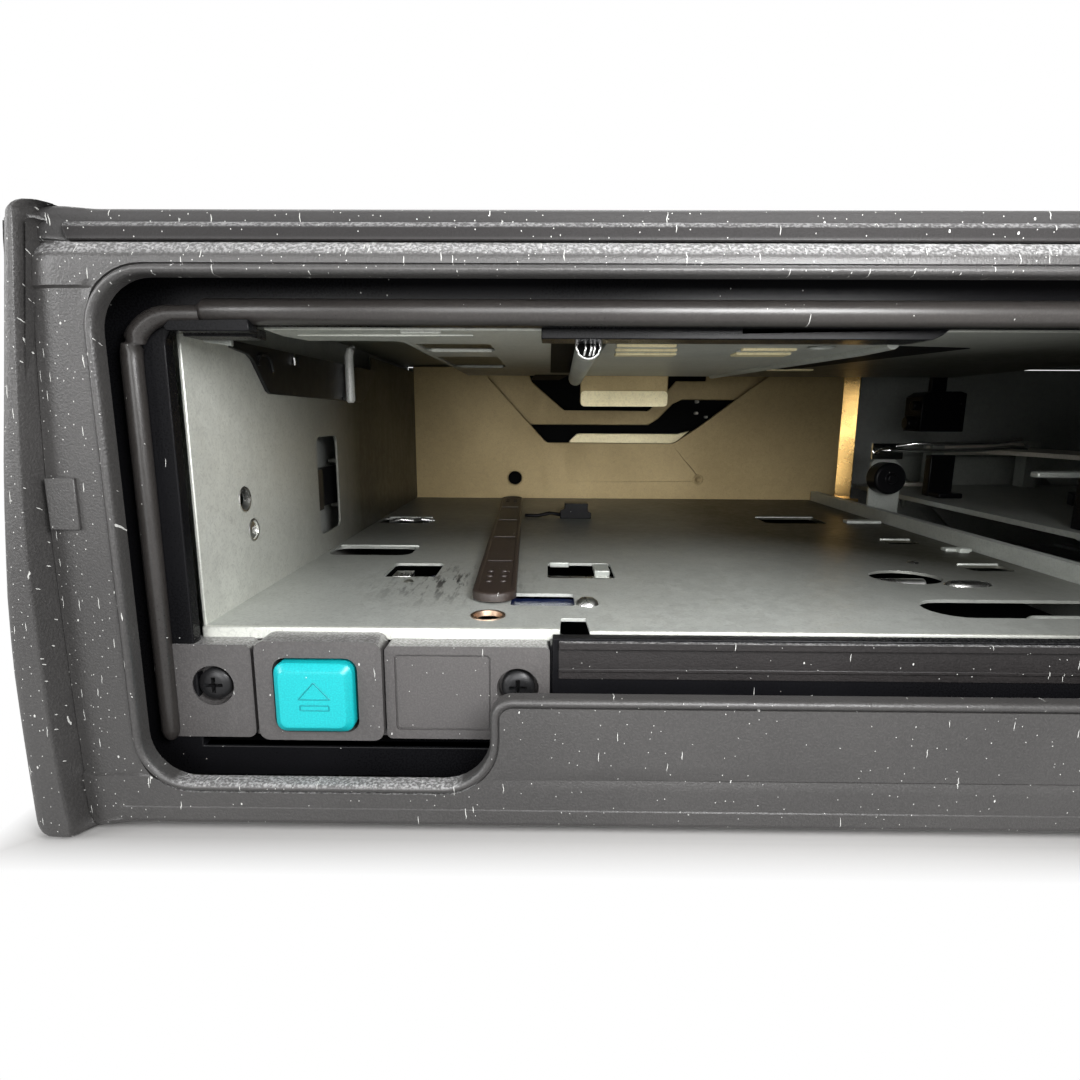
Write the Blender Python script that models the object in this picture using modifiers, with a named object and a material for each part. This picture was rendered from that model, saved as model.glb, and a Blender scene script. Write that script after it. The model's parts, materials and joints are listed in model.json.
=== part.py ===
# Car disc changer with its sliding door open: pressed steel case, moulded front,
# magazine bay on the left and a lifting play deck on the right.
# Metres, +Z up, the front looks along -Y, the origin is under the middle of the unit.
# Places are measured from the left end of the front (along), behind the face of its
# bar (behind) and above the lower edge of that bar (above).
import math

import bmesh
import bpy
from mathutils import Matrix, Vector

# Driving sizes of the whole unit.
front_width = 0.280
bar_height = 0.0695
overall_depth = 0.170
cap_proud = 0.002
cap_over = 0.0015
steel_thickness = 0.001
seat_gap = 0.0003
cut_overrun = 0.004
round_steps = 24

# Front moulding.
face_wall = 0.002
skirt_depth = 0.014
skirt_wall = 0.0018
opening_left = 0.0131
door_park_margin = 0.0230
opening_wide = (front_width - door_park_margin) / 2
opening_low = 0.0048
opening_top = 0.0628
opening_radius = 0.0058
sill_top = 0.01595
sill_start = 0.0519
sill_radius = 0.0030
groove_low = 0.0662
groove_high = 0.0678
groove_deep = 0.0008
groove_start = 0.0085
ridge_low = 0.0640
ridge_proud = 0.0004
cap_width = 0.0098
cap_wall = 0.0014
cap_edge = 0.0010
cap_thick = 0.0155
cap_lean_shares = ((0.00, 0.12), (0.10, 0.00), (0.34, 0.01), (0.58, 0.13), (0.80, 0.33), (1.00, 0.55))

# Sliding door, parked behind the right half of the front.
door_thickness = 0.0015
door_lap = 0.0014
door_start_gap = 0.0005
door_low = 0.0035
door_top = 0.0650
door_step_low = 0.0140
door_step_from_lead = 0.0340
door_runner_deep = 0.0035
door_runner_tall = 0.0010
door_face_gap = 0.0004
door_grip_wide = 0.0040
door_grip_tall = 0.0240
door_grip_deep = 0.0006
door_grip_inset = 0.0060

# Inner frame behind the door.
frame_face = 0.0065
frame_thickness = 0.0018
frame_side_inset = 0.0085
frame_low = 0.0025
frame_top = 0.0668
window_left = 0.0143
window_over = 0.0084
window_right = opening_left + opening_wide + window_over
window_low = 0.0214
window_top = 0.0586
window_radius = 0.0040
rail_radius = 0.00145
rail_depth = 0.0061
rail_height = 0.0600
rail_left = 0.0129
rail_low = 0.0080
rail_corner = 0.0050
lug_left = 0.0157
lug_wide = 0.0101
lug_tall = 0.0011
lug_deep = 0.0028
ledge_back = 0.0114
ledge_thickness = 0.0015
shelf_thickness = 0.0010

# Button panel under the left half of the bay.
panel_left = 0.0146
panel_right = 0.0613
panel_low = 0.0068
panel_top = 0.0204
panel_face = 0.0063
panel_back = 0.0096
surround_left = 0.0250
surround_wide = 0.0156
surround_proud = 0.0008
surround_low = 0.0085
surround_over = 0.0006
surround_radius = 0.0015
label_left = 0.0421
label_wide = 0.0119
label_tall = 0.0098
label_low = 0.0092
label_deep = 0.0004
screw_low = 0.0151
screw_left_place = 0.0190
screw_right_place = 0.0573
screw_pocket_radius = 0.0026
screw_pocket_deep = 0.0016
screw_head_radius = 0.0021
screw_head_tall = 0.0012
screw_shank_radius = 0.0010
screw_cross_wide = 0.0006
screw_cross_long = 0.0026
screw_cross_deep = 0.0007

# Eject button.
button_left = 0.0283
button_wide = 0.0098
button_low = 0.0104
button_tall = 0.0091
button_front = 0.0045
button_gap = 0.0004
button_edge = 0.0006
button_stem_wide = 0.0046
button_stem_tall = 0.0040
button_stem_end = 0.0155
button_flange_back = 0.0075

# Steel case.
case_inset = 0.0100
case_low = 0.0020
case_top = 0.0670
case_front = 0.0090
case_back = 0.1680
foot_radius = 0.0075
foot_flat_radius = 0.0060
foot_side_inset = 0.0260
foot_front = 0.0300
foot_rear_inset = 0.0230
foot_back = case_back - foot_rear_inset

# Floating chassis pan under everything inside the case.
pan_low = 0.0040
pan_thickness = 0.0010
pan_side_gap = 0.0010
pan_front = 0.0105
pan_rear_gap = 0.0018
pan_back = case_back - pan_rear_gap
damper_radius = 0.0030
damper_neck_radius = 0.0020
damper_tall = 0.0050
damper_side_inset = 0.0205
damper_front = 0.0145
damper_rear_inset = 0.0047
damper_back = pan_back - damper_rear_inset

# Magazine bay.
bay_floor_top = 0.0216
bay_floor_front = 0.0120
bay_floor_front_right = 0.0087
bay_notch_left = 0.0628
bay_notch_right = 0.0662
bay_notch_back = 0.0145
bay_left = 0.0163
bay_over = 0.0078
bay_right = opening_left + opening_wide + bay_over
rear_space = 0.0180
bay_back = case_back - rear_space
bay_top = 0.0590
wall_front = 0.0115
rear_wall_over = 0.0144
rear_wall_right = bay_right + rear_wall_over
rear_post_wide = 0.0045
rear_post_deep = 0.0030
top_front = 0.0135
top_left = 0.0350

# Fixed pieces in the bay.
strip_front = (0.0530, 0.0240)
strip_rear_inset = 0.0120
strip_back = (0.0496, bay_back - strip_rear_inset)
strip_wide = 0.0066
strip_tall = 0.0014
guide_bar_left = 0.0600
guide_bar_right = 0.1078
guide_bar_front = 0.0086
guide_bar_deep = 0.0048
guide_bar_tall = 0.0014
bracket_thickness = 0.0008
bracket_front = 0.0287
bracket_back = 0.1105
bracket_low = 0.0522
bracket_nose_low = 0.0583
pin_radius = 0.0006
pin_depth = 0.0830
pin_low = 0.0518
rail_strip_wide = 0.0020
rail_strip_tall = 0.0030
rail_strip_low = 0.0130
rail_strip_front = 0.0186
rail_strip_gap = 0.0015
rail_strip_back = bay_back - rail_strip_gap
floor_shaft_long = 0.0164
floor_shaft_radius = 0.0024
floor_shaft_height = 0.0180

# Holes in the bay floor: left, front, right and back edges. The right-hand ones keep to
# the right edge of the floor.
floor_holes = {
    "square_left": (0.0328, 0.0370, 0.0418, 0.0475),
    "square_right": (0.0618, 0.0380, 0.0726, 0.0486),
    "square_front": (0.0555, 0.0205, 0.0650, 0.0232),
    "slot_left": (0.0190, 0.0575, 0.0352, 0.0640),
    "slot_far_left": (0.0190, 0.0960, 0.0302, 0.1030),
    "slot_back": (bay_right - 0.0316, 0.1040, bay_right - 0.0146, 0.1075),
    "slot_mid": (bay_right - 0.0122, 0.0455, bay_right - 0.0031, 0.0495),
    "slot_rear_right": (bay_right - 0.0142, 0.0717, bay_right - 0.0059, 0.0749),
}
floor_round_place = (0.0528, 0.0155)
floor_round_radius = 0.0023
floor_round_inset = 0.0260
floor_round_right_place = (bay_right - floor_round_inset, 0.0415)
floor_round_right_radius = 0.0052
floor_oval_inset = 0.0026
floor_oval_long = 0.0300
floor_oval_right = bay_right - floor_oval_inset
floor_oval_left = floor_oval_right - floor_oval_long
floor_oval_depth = 0.0220
floor_oval_radius = 0.0032

# Eject lever under the bay floor.
lever_pivot = (0.0560, 0.0240)
lever_low = 0.0143
lever_thickness = 0.0012
lever_arm_wide = 0.0050
lever_front = 0.0158
lever_left = 0.0300
lever_back = 0.0560
lever_hub_radius = 0.0040
lever_post_radius = 0.0015
lever_spring_radius = 0.0030
lever_spring_wire = 0.0003
lever_spring_turns = 4
lever_spring_tall = 0.0040

# Magazine latch outside the left wall of the bay.
latch_pivot = 0.0750
latch_offset = 0.0136
latch_long = 0.0180
latch_thickness = 0.0010
latch_low = 0.0300
latch_tall = 0.0080
latch_nose = 0.0016
latch_nose_wide = 0.0050
latch_pin_radius = 0.0009
latch_ear_thickness = 0.0010
latch_ear_deep = 0.0036
slot_front = 0.0548
slot_back = 0.0690
slot_low = 0.0250
slot_top = 0.0445

# Main circuit board.
board_left = 0.0240
board_right = 0.1020
board_front = 0.0640
board_rear_gap = 0.0040
board_back = bay_back - board_rear_gap
board_low = 0.0105
board_thickness = 0.0016
standoff_radius = 0.0022
standoff_inset = 0.0060
chip_size = 0.0140
chip_tall = 0.0020

# Socket in the rear wall of the case.
socket_radius = 0.0085
socket_long = 0.0060
socket_place = 0.0800
socket_height = 0.0300
socket_wall = 0.0012
socket_flange = 0.0020

# Play deck.
deck_bay_gap = 0.0156
deck_side_margin = 0.0170
deck_rear_space = 0.0160
deck_left = bay_right + deck_bay_gap
deck_right = front_width - deck_side_margin
deck_wide = deck_right - deck_left
deck_front = 0.0214
deck_back = case_back - deck_rear_space
deck_low = 0.0255
deck_thickness = 0.0012
deck_lift = 0.0125
deck_flange_low = 0.0190
deck_flange_inset = 0.0180
deck_flange_left = deck_left + deck_flange_inset
deck_flange_right = deck_right - deck_flange_inset
deck_pin_radius = 0.0014
deck_pin_height = 0.0210
deck_pin_inset = 0.0250
deck_pin_places = (deck_left + deck_pin_inset, deck_right - deck_pin_inset)
deck_pin_reach = 0.0028
post_radius = 0.0020
post_inset = 0.0050
post_rear_inset = 0.0200
post_left_place = (deck_left + post_inset, 0.0250)
post_right_place = (deck_right - post_inset, deck_back - post_rear_inset)
spin_place_share = 0.4081633
spin_place = (deck_left + deck_wide * spin_place_share, 0.0880)
motor_radius = 0.0110
motor_low = 0.0187
turntable_radius = 0.0140
turntable_tall = 0.0026
hub_radius = 0.0074
hub_top_share = 0.6
hub_tall = 0.0025
spindle_radius = 0.0010
spindle_hole_radius = 0.0030

# Pickup sled, its rods and its feed screw.
sled_wide_share = 0.3877551
sled_wide = deck_wide * sled_wide_share
sled_long = 0.0200
sled_low = 0.0195
sled_tall = 0.0054
sled_rest = 0.0640
sled_travel = 0.0300
rod_radius = 0.0015
rod_height = 0.0220
rod_spread_share = 0.3061224
rod_spread = deck_wide * rod_spread_share
screw_radius = 0.0013
screw_place_share = 0.6428571
screw_place = deck_left + deck_wide * screw_place_share
nut_wide = 0.0080
nut_long = 0.0100
holder_long = 0.0020
holder_end_gap = 0.0006
lens_radius = 0.0026
lens_tall = 0.0024
feed_motor_radius = 0.0026
feed_motor_long = 0.0140
slot_half_wide = 0.0090

# Clamp over the turntable.
clamp_height = 0.0385
clamp_thickness = 0.0012
clamp_wide = 0.0260
clamp_front = 0.0760
clamp_rear_inset = 0.0030
clamp_pivot = deck_back - clamp_rear_inset
clamp_pin_radius = 0.0011
clamp_barrel_radius = 0.0021
clamp_post_wide = 0.0040
clamp_post_deep = 0.0050
clamp_disc_radius = 0.0120
clamp_disc_low = 0.0342
clamp_disc_tall = 0.0023
clamp_neck_radius = 0.0025
clamp_head_radius = 0.0042
clamp_head_tall = 0.0010

# Tray lever on the deck, which draws a tray out of the magazine.
tray_inset = 0.0065
tray_pivot = (deck_left + tray_inset, deck_back - tray_inset)
tray_reach = 0.0150
tray_wide = 0.0040
tray_thickness = 0.0012
tray_pin_radius = 0.0012

# Lift slide: two cam plates joined under the deck, with a rack.
cam_thickness = 0.0012
cam_front = 0.0180
cam_rear_gap = 0.0034
cam_inset = 0.0100
cam_back = deck_back + cam_rear_gap
cam_left = deck_left + cam_inset
cam_right = deck_right - cam_inset
cam_low = 0.0053
cam_top = 0.0360
cam_slot_radius = 0.0018
bar_inset = 0.0145
bar_left = cam_right - bar_inset
bar_wide = 0.0040
bar_tall = 0.0009
rack_reach = 0.0180
rack_low = 0.0080
rack_tall = 0.0036
rack_back = 0.0200
gear_module = 0.001
gear_teeth = 14
gear_inset = 0.0094
gear_place = bay_right - gear_inset
rack_left = gear_place - rack_reach
gear_bore_radius = 0.0018
gear_post_radius = 0.0015
rack_teeth = 10
tooth_height = 0.0008
tooth_half_tip_share = 0.12
tooth_half_root_share = 0.20
tooth_clear = 0.0004
worm_radius = 0.0026
worm_core_radius = 0.0018
worm_long = 0.0160
worm_rings = 6
lift_motor_radius = 0.0044
lift_motor_long = 0.0200
shaft_gap = 0.0003

# Case screws.
case_screw_radius = 0.0022
case_screw_tall = 0.0008
case_screw_shank = 0.0012
case_screw_sunk = 0.0001
case_screw_height = 0.0330
case_screw_rear_inset = 0.0320
case_screw_depths = (0.0420, case_back - case_screw_rear_inset)

# Worked out from the driving sizes.
left_end = -front_width / 2
bar_face = -overall_depth / 2 + cap_proud
bar_low = cap_over
pan_top = pan_low + pan_thickness
floor_low = bay_floor_top - steel_thickness
deck_top = deck_low + deck_thickness
gear_radius = gear_module * gear_teeth / 2
opening_right = opening_left + opening_wide
case_right = front_width - case_inset

collections = {}


def along(distance):
    return left_end + distance


def behind(depth):
    return bar_face + depth


def above(height):
    return bar_low + height


def clear_scene():
    for thing in list(bpy.data.objects):
        bpy.data.objects.remove(thing, do_unlink=True)


def make_collection(name):
    group = bpy.data.collections.new(name)
    bpy.context.scene.collection.children.link(group)
    collections[name] = group


def paint(name, colour, roughness, metallic):
    look = bpy.data.materials.new(name)
    look.use_nodes = True
    shader = look.node_tree.nodes["Principled BSDF"]
    shader.inputs["Base Color"].default_value = (*colour, 1)
    shader.inputs["Roughness"].default_value = roughness
    shader.inputs["Metallic"].default_value = metallic
    look.diffuse_color = (*colour, 1)
    return look


def place_mesh(name, mesh, look, location=(0, 0, 0), group="disc_changer"):
    piece = bpy.data.objects.new(name, mesh)
    piece.location = location
    collections[group].objects.link(piece)
    if look is not None:
        mesh.materials.append(look)
    return piece


def block(name, low, high, look=None, group="disc_changer"):
    form = bmesh.new()
    bmesh.ops.create_cube(form, size=1)
    low = Vector(low)
    high = Vector(high)
    bmesh.ops.scale(form, vec=high - low, verts=form.verts)
    mesh = bpy.data.meshes.new(name)
    form.to_mesh(mesh)
    form.free()
    return place_mesh(name, mesh, look, (low + high) / 2, group)


# A round bar along "x", "y" or "z" from the middle of its first end; it tapers where
# an end radius is given.
def bar_round(name, start, axis, length, radius, look=None, group="disc_changer", steps=round_steps,
              end_radius=None):
    form = bmesh.new()
    far = radius if end_radius is None else end_radius
    bmesh.ops.create_cone(form, cap_ends=True, segments=steps, radius1=radius, radius2=far, depth=length)
    turn = {"x": Matrix.Rotation(math.pi / 2, 4, "Y"), "y": Matrix.Rotation(-math.pi / 2, 4, "X"),
            "z": Matrix.Identity(4)}[axis]
    bmesh.ops.transform(form, matrix=turn, verts=form.verts)
    mesh = bpy.data.meshes.new(name)
    form.to_mesh(mesh)
    form.free()
    mesh.shade_smooth()
    mesh.set_sharp_from_angle(angle=math.radians(40))
    middle = Vector(start)
    middle["xyz".index(axis)] += length / 2
    return place_mesh(name, mesh, look, middle, group)


# A turned piece about the vertical through "place"; its profile runs down the outer side.
def turned(name, profile, place, look, group="disc_changer"):
    mesh = bpy.data.meshes.new(name)
    points = [(radius, 0, height) for radius, height in profile]
    edges = [(index, index + 1) for index in range(len(points) - 1)]
    mesh.from_pydata(points, edges, [])
    piece = place_mesh(name, mesh, look, place, group)
    lathe = piece.modifiers.new("turn", "SCREW")
    lathe.steps = round_steps
    lathe.render_steps = round_steps
    lathe.use_merge_vertices = True
    lathe.merge_threshold = 0.00001
    lathe.use_normal_calculate = True
    return solid(piece)


# The piece as its modifiers leave it, in world space, as a plain mesh with its name.
def solid(piece):
    bpy.context.view_layer.update()
    graph = bpy.context.evaluated_depsgraph_get()
    mesh = bpy.data.meshes.new_from_object(piece.evaluated_get(graph))
    mesh.transform(piece.matrix_world)
    form = bmesh.new()
    form.from_mesh(mesh)
    bmesh.ops.remove_doubles(form, verts=form.verts, dist=0.000002)
    bmesh.ops.recalc_face_normals(form, faces=form.faces)
    form.to_mesh(mesh)
    form.free()
    name = piece.name
    group = piece.users_collection[0].name
    old = piece.data
    bpy.data.objects.remove(piece, do_unlink=True)
    mesh.name = name
    fresh = bpy.data.objects.new(name, mesh)
    collections[group].objects.link(fresh)
    if len(mesh.materials) == 0 and len(old.materials) > 0:
        mesh.materials.append(old.materials[0])
    return fresh


# A flat shape with holes, in the plane "front" (x, z), "side" (y, z) or "flat" (x, y),
# thick from start to end along the third axis.
def flat_shape(name, plane, loops, start, end, look=None, group="disc_changer"):
    curve = bpy.data.curves.new(name, "CURVE")
    curve.dimensions = "2D"
    curve.fill_mode = "BOTH"
    curve.extrude = abs(end - start) / 2
    for loop in loops:
        spline = curve.splines.new("POLY")
        spline.points.add(len(loop) - 1)
        for point, (across, up) in zip(spline.points, loop):
            point.co = (across, up, 0, 1)
        spline.use_cyclic_u = True
    if look is not None:
        curve.materials.append(look)
    piece = bpy.data.objects.new(name, curve)
    middle = (start + end) / 2
    if plane == "front":
        piece.matrix_world = Matrix.Translation((0, middle, 0)) @ Matrix.Rotation(math.pi / 2, 4, "X")
    elif plane == "side":
        turn = Matrix(((0, 0, 1, 0), (1, 0, 0, 0), (0, 1, 0, 0), (0, 0, 0, 1)))
        piece.matrix_world = Matrix.Translation((middle, 0, 0)) @ turn
    else:
        piece.matrix_world = Matrix.Translation((0, 0, middle))
    collections[group].objects.link(piece)
    return solid(piece)


# A round wire or tube through points.
def wire(name, points, radius, look=None, group="disc_changer", sides=2):
    curve = bpy.data.curves.new(name, "CURVE")
    curve.dimensions = "3D"
    curve.bevel_depth = radius
    curve.bevel_resolution = sides
    curve.use_fill_caps = True
    spline = curve.splines.new("POLY")
    spline.points.add(len(points) - 1)
    for point, place in zip(spline.points, points):
        point.co = (*place, 1)
    if look is not None:
        curve.materials.append(look)
    piece = bpy.data.objects.new(name, curve)
    collections[group].objects.link(piece)
    return solid(piece)


def join(piece, *others):
    for other in others:
        union = piece.modifiers.new("join", "BOOLEAN")
        union.operation = "UNION"
        union.object = other
        piece = solid(piece)
        bpy.data.objects.remove(other, do_unlink=True)
    return piece


def cut(piece, *cutters):
    for cutter in cutters:
        bite = piece.modifiers.new("cut", "BOOLEAN")
        bite.operation = "DIFFERENCE"
        bite.object = cutter
        piece = solid(piece)
        bpy.data.objects.remove(cutter, do_unlink=True)
    return piece


def soften(piece, width, steps=2, angle=40):
    edge = piece.modifiers.new("edge", "BEVEL")
    edge.width = width
    edge.segments = steps
    edge.limit_method = "ANGLE"
    edge.angle_limit = math.radians(angle)
    return solid(piece)


def box_loop(left, low, right, top):
    return [(left, low), (right, low), (right, top), (left, top)]


def arc(centre, radius, start, end, steps=6):
    points = []
    for index in range(steps + 1):
        angle = math.radians(start + (end - start) * index / steps)
        points.append((centre[0] + radius * math.cos(angle), centre[1] + radius * math.sin(angle)))
    return points


def ring(centre, radius, steps=round_steps):
    return arc(centre, radius, 0, 360 - 360 / steps, steps - 1)


def round_loop(left, low, right, top, radius, steps=5):
    points = arc((left + radius, low + radius), radius, 180, 270, steps)
    points += arc((right - radius, low + radius), radius, 270, 360, steps)
    points += arc((right - radius, top - radius), radius, 0, 90, steps)
    points += arc((left + radius, top - radius), radius, 90, 180, steps)
    return points


# The edge of the front opening, which steps up to the sill in an S-curve.
def opening_loop(grow=0):
    left = along(opening_left) - grow
    right = along(opening_right) + grow
    low = above(opening_low) - grow
    sill = above(sill_top) - grow
    top = above(opening_top) + grow
    corner = opening_radius + grow
    step = along(sill_start) + grow
    inner = sill_radius - grow
    points = arc((left + corner, low + corner), corner, 180, 270)
    points += arc((step - inner - sill_radius, low + corner), corner, 270, 360)[:-1]
    points += arc((step + sill_radius * 2, sill - inner), inner, 180, 90)
    points += arc((right - inner, sill + inner), inner, 270, 360)
    points += arc((right - corner, top - corner), corner, 0, 90)
    points += arc((left + corner, top - corner), corner, 90, 180)
    return points


def cap_loop(side):
    low = -cap_over
    tall = bar_height + 2 * cap_over
    inner = cap_width
    points = []
    for share, lean in cap_lean_shares:
        points.append((cap_width * lean, low + tall * share))
    points.append((inner, low + tall))
    points.append((inner, low))
    return [(side * (left_end + across), above(up)) for across, up in points]


def make_front(look):
    skirt_end = behind(skirt_depth)
    shell = block("front_bezel", (along(cap_width - seat_gap), behind(0), above(0)),
                  (-along(cap_width - seat_gap), skirt_end, above(bar_height)), look)
    groove = block("groove", (along(groove_start), behind(-cut_overrun), above(groove_low)),
                   (-along(groove_start), behind(groove_deep), above(groove_high)), None, "cutters")
    shell = cut(shell, groove)
    ridge = block("ridge", (along(groove_start), behind(-ridge_proud), above(ridge_low)),
                  (-along(groove_start), behind(groove_deep), above(groove_low)))
    shell = join(shell, ridge)
    for side in (1, -1):
        cap = flat_shape("cap", "front", [cap_loop(side)], behind(-cap_proud), behind(cap_thick - cap_proud))
        cap = soften(cap, cap_edge)
        shell = join(shell, cap)
    hollow_left = along(cap_width * cap_lean_shares[-1][1] + cap_wall)
    hollow = block("hollow", (hollow_left, behind(face_wall), above(skirt_wall)),
                   (-hollow_left, behind(cap_thick + cut_overrun), above(bar_height - skirt_wall)), None, "cutters")
    shell = cut(shell, hollow)
    hole = flat_shape("hole", "front", [opening_loop()], behind(-cut_overrun), behind(face_wall + cut_overrun),
                      None, "cutters")
    shell = cut(shell, hole)
    return shell


def make_door(look):
    lead = along(opening_right + door_start_gap)
    tail = lead + opening_wide + door_lap * 2 - door_start_gap
    step = lead + door_step_from_lead
    front = behind(face_wall + door_face_gap)
    back = front + door_thickness
    runner = front + door_runner_deep
    low = above(door_low)
    mid = above(door_step_low)
    top = above(door_top)
    outline = [(lead, low), (step, low), (step, mid), (tail, mid), (tail, top), (lead, top)]
    door = flat_shape("sliding_door", "front", [outline], front, back, look)
    inner = back - seat_gap
    runners = [
        ((lead, inner, top - door_runner_tall), (tail, runner, top)),
        ((lead, inner, low), (step, runner, low + door_runner_tall)),
        ((step, inner, mid), (tail, runner, mid + door_runner_tall)),
    ]
    for corner_low, corner_high in runners:
        door = join(door, block("runner", corner_low, corner_high))
    grip_left = lead + door_grip_inset
    grip_mid = (mid + top) / 2
    grip = block("grip", (grip_left, front - cut_overrun, grip_mid - door_grip_tall / 2),
                 (grip_left + door_grip_wide, front + door_grip_deep, grip_mid + door_grip_tall / 2), None, "cutters")
    return cut(door, grip)


def window_loop():
    left = along(window_left)
    right = along(window_right)
    low = above(window_low)
    top = above(window_top)
    foot = above(panel_low) - seat_gap
    step = along(panel_right) + seat_gap
    points = [(left, foot), (step, foot), (step, low)]
    points += arc((right - window_radius, low + window_radius), window_radius, 270, 360, 4)
    points += arc((right - window_radius, top - window_radius), window_radius, 0, 90, 4)
    points += arc((left + window_radius, top - window_radius), window_radius, 90, 180, 4)
    return points


def make_frame(look):
    left = along(frame_side_inset)
    front = behind(frame_face)
    back = front + frame_thickness
    outline = box_loop(left, above(frame_low), -left, above(frame_top))
    frame = flat_shape("inner_frame", "front", [outline, window_loop()], front, back, look)
    depth = behind(rail_depth)
    turn = above(rail_height) - rail_corner
    path = [(along(rail_left), depth, above(rail_low)), (along(rail_left), depth, turn)]
    for across, up in arc((along(rail_left) + rail_corner, turn), rail_corner, 180, 90)[1:]:
        path.append((across, depth, up))
    path.append((along(window_right), depth, above(rail_height)))
    frame = join(frame, wire("rail", path, rail_radius))
    lug = block("lug", (along(lug_left), back - seat_gap, above(window_top) - lug_tall),
                (along(lug_left + lug_wide), back + lug_deep, above(window_top) + seat_gap))
    frame = join(frame, lug)
    ledge_front = behind(ledge_back - ledge_thickness)
    foot = above(panel_low) - seat_gap
    right = along(panel_right) + seat_gap
    wall = block("wall", (right - seat_gap, front + seat_gap, foot),
                 (right + ledge_thickness, behind(ledge_back), above(panel_top)))
    ledge = block("ledge", (along(window_left) - ledge_thickness, ledge_front, foot - shelf_thickness),
                  (right + seat_gap, behind(ledge_back), above(panel_top)))
    frame = join(frame, ledge, wall)
    shelf = block("shelf", (along(window_left) - ledge_thickness, front + seat_gap, foot - shelf_thickness),
                  (right + seat_gap, ledge_front + seat_gap, foot))
    frame = join(frame, shelf)
    middle = along(button_left + button_wide / 2)
    height = above(button_low + button_tall / 2)
    hole = block("hole", (middle - button_stem_wide / 2 - button_gap, ledge_front - cut_overrun / 2,
                          height - button_stem_tall / 2 - button_gap),
                 (middle + button_stem_wide / 2 + button_gap, behind(ledge_back) + cut_overrun,
                  height + button_stem_tall / 2 + button_gap), None, "cutters")
    frame = cut(frame, hole)
    for place in (screw_left_place, screw_right_place):
        bore = bar_round("bore", (along(place), ledge_front - cut_overrun / 2, above(screw_low)), "y",
                         cut_overrun + ledge_thickness, screw_shank_radius + seat_gap, None, "cutters")
        frame = cut(frame, bore)
    return frame


def make_panel(look):
    panel = block("button_panel", (along(panel_left), behind(panel_face), above(panel_low)),
                  (along(panel_right), behind(panel_back), above(panel_top)), look)
    right = surround_left + surround_wide
    loop = round_loop(along(surround_left), above(surround_low), along(right), above(panel_top + surround_over),
                      surround_radius)
    raised = flat_shape("raised", "front", [loop], behind(panel_face - surround_proud), behind(panel_back - seat_gap))
    panel = join(panel, raised)
    window = round_loop(along(button_left) - button_gap, above(button_low) - button_gap,
                        along(button_left + button_wide) + button_gap,
                        above(button_low + button_tall) + button_gap, button_edge + button_gap, 3)
    hole = flat_shape("hole", "front", [window], behind(panel_face - cut_overrun), behind(panel_back + cut_overrun),
                      None, "cutters")
    panel = cut(panel, hole)
    label = block("label", (along(label_left), behind(-cut_overrun), above(label_low)),
                  (along(label_left + label_wide), behind(panel_face + label_deep), above(label_low + label_tall)),
                  None, "cutters")
    panel = cut(panel, label)
    for place in (screw_left_place, screw_right_place):
        start = (along(place), behind(panel_face) - cut_overrun, above(screw_low))
        pocket = bar_round("pocket", start, "y", cut_overrun + screw_pocket_deep, screw_pocket_radius, None, "cutters")
        bore = bar_round("bore", start, "y", cut_overrun * 2 + panel_back - panel_face,
                         screw_shank_radius + seat_gap, None, "cutters")
        panel = cut(panel, pocket, bore)
    return panel


def make_panel_screw(name, place, look):
    seat = behind(panel_face + screw_pocket_deep) - seat_gap
    start = (along(place), seat - screw_head_tall, above(screw_low))
    head = bar_round(name, start, "y", screw_head_tall, screw_head_radius, look)
    shank_start = (along(place), seat - seat_gap, above(screw_low))
    shank = bar_round("shank", shank_start, "y", behind(ledge_back) + screw_head_tall - seat, screw_shank_radius)
    screw = join(head, shank)
    reach = screw_cross_long / 2
    half = screw_cross_wide / 2
    for wide, tall in ((reach, half), (half, reach)):
        slot = block("slot", (along(place) - wide, start[1] - cut_overrun, above(screw_low) - tall),
                     (along(place) + wide, start[1] + screw_cross_deep, above(screw_low) + tall), None, "cutters")
        screw = cut(screw, slot)
    return screw


def make_button(look):
    left = along(button_left)
    right = along(button_left + button_wide)
    low = above(button_low)
    top = above(button_low + button_tall)
    loop = round_loop(left, low, right, top, button_edge, 3)
    button = flat_shape("eject_button", "front", [loop], behind(button_front), behind(button_flange_back), look)
    middle = (left + right) / 2
    height = (low + top) / 2
    stem = block("stem", (middle - button_stem_wide / 2, behind(button_flange_back) - seat_gap,
                          height - button_stem_tall / 2),
                 (middle + button_stem_wide / 2, behind(button_stem_end), height + button_stem_tall / 2))
    button = join(soften(button, button_edge / 2), stem)
    return button


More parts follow.
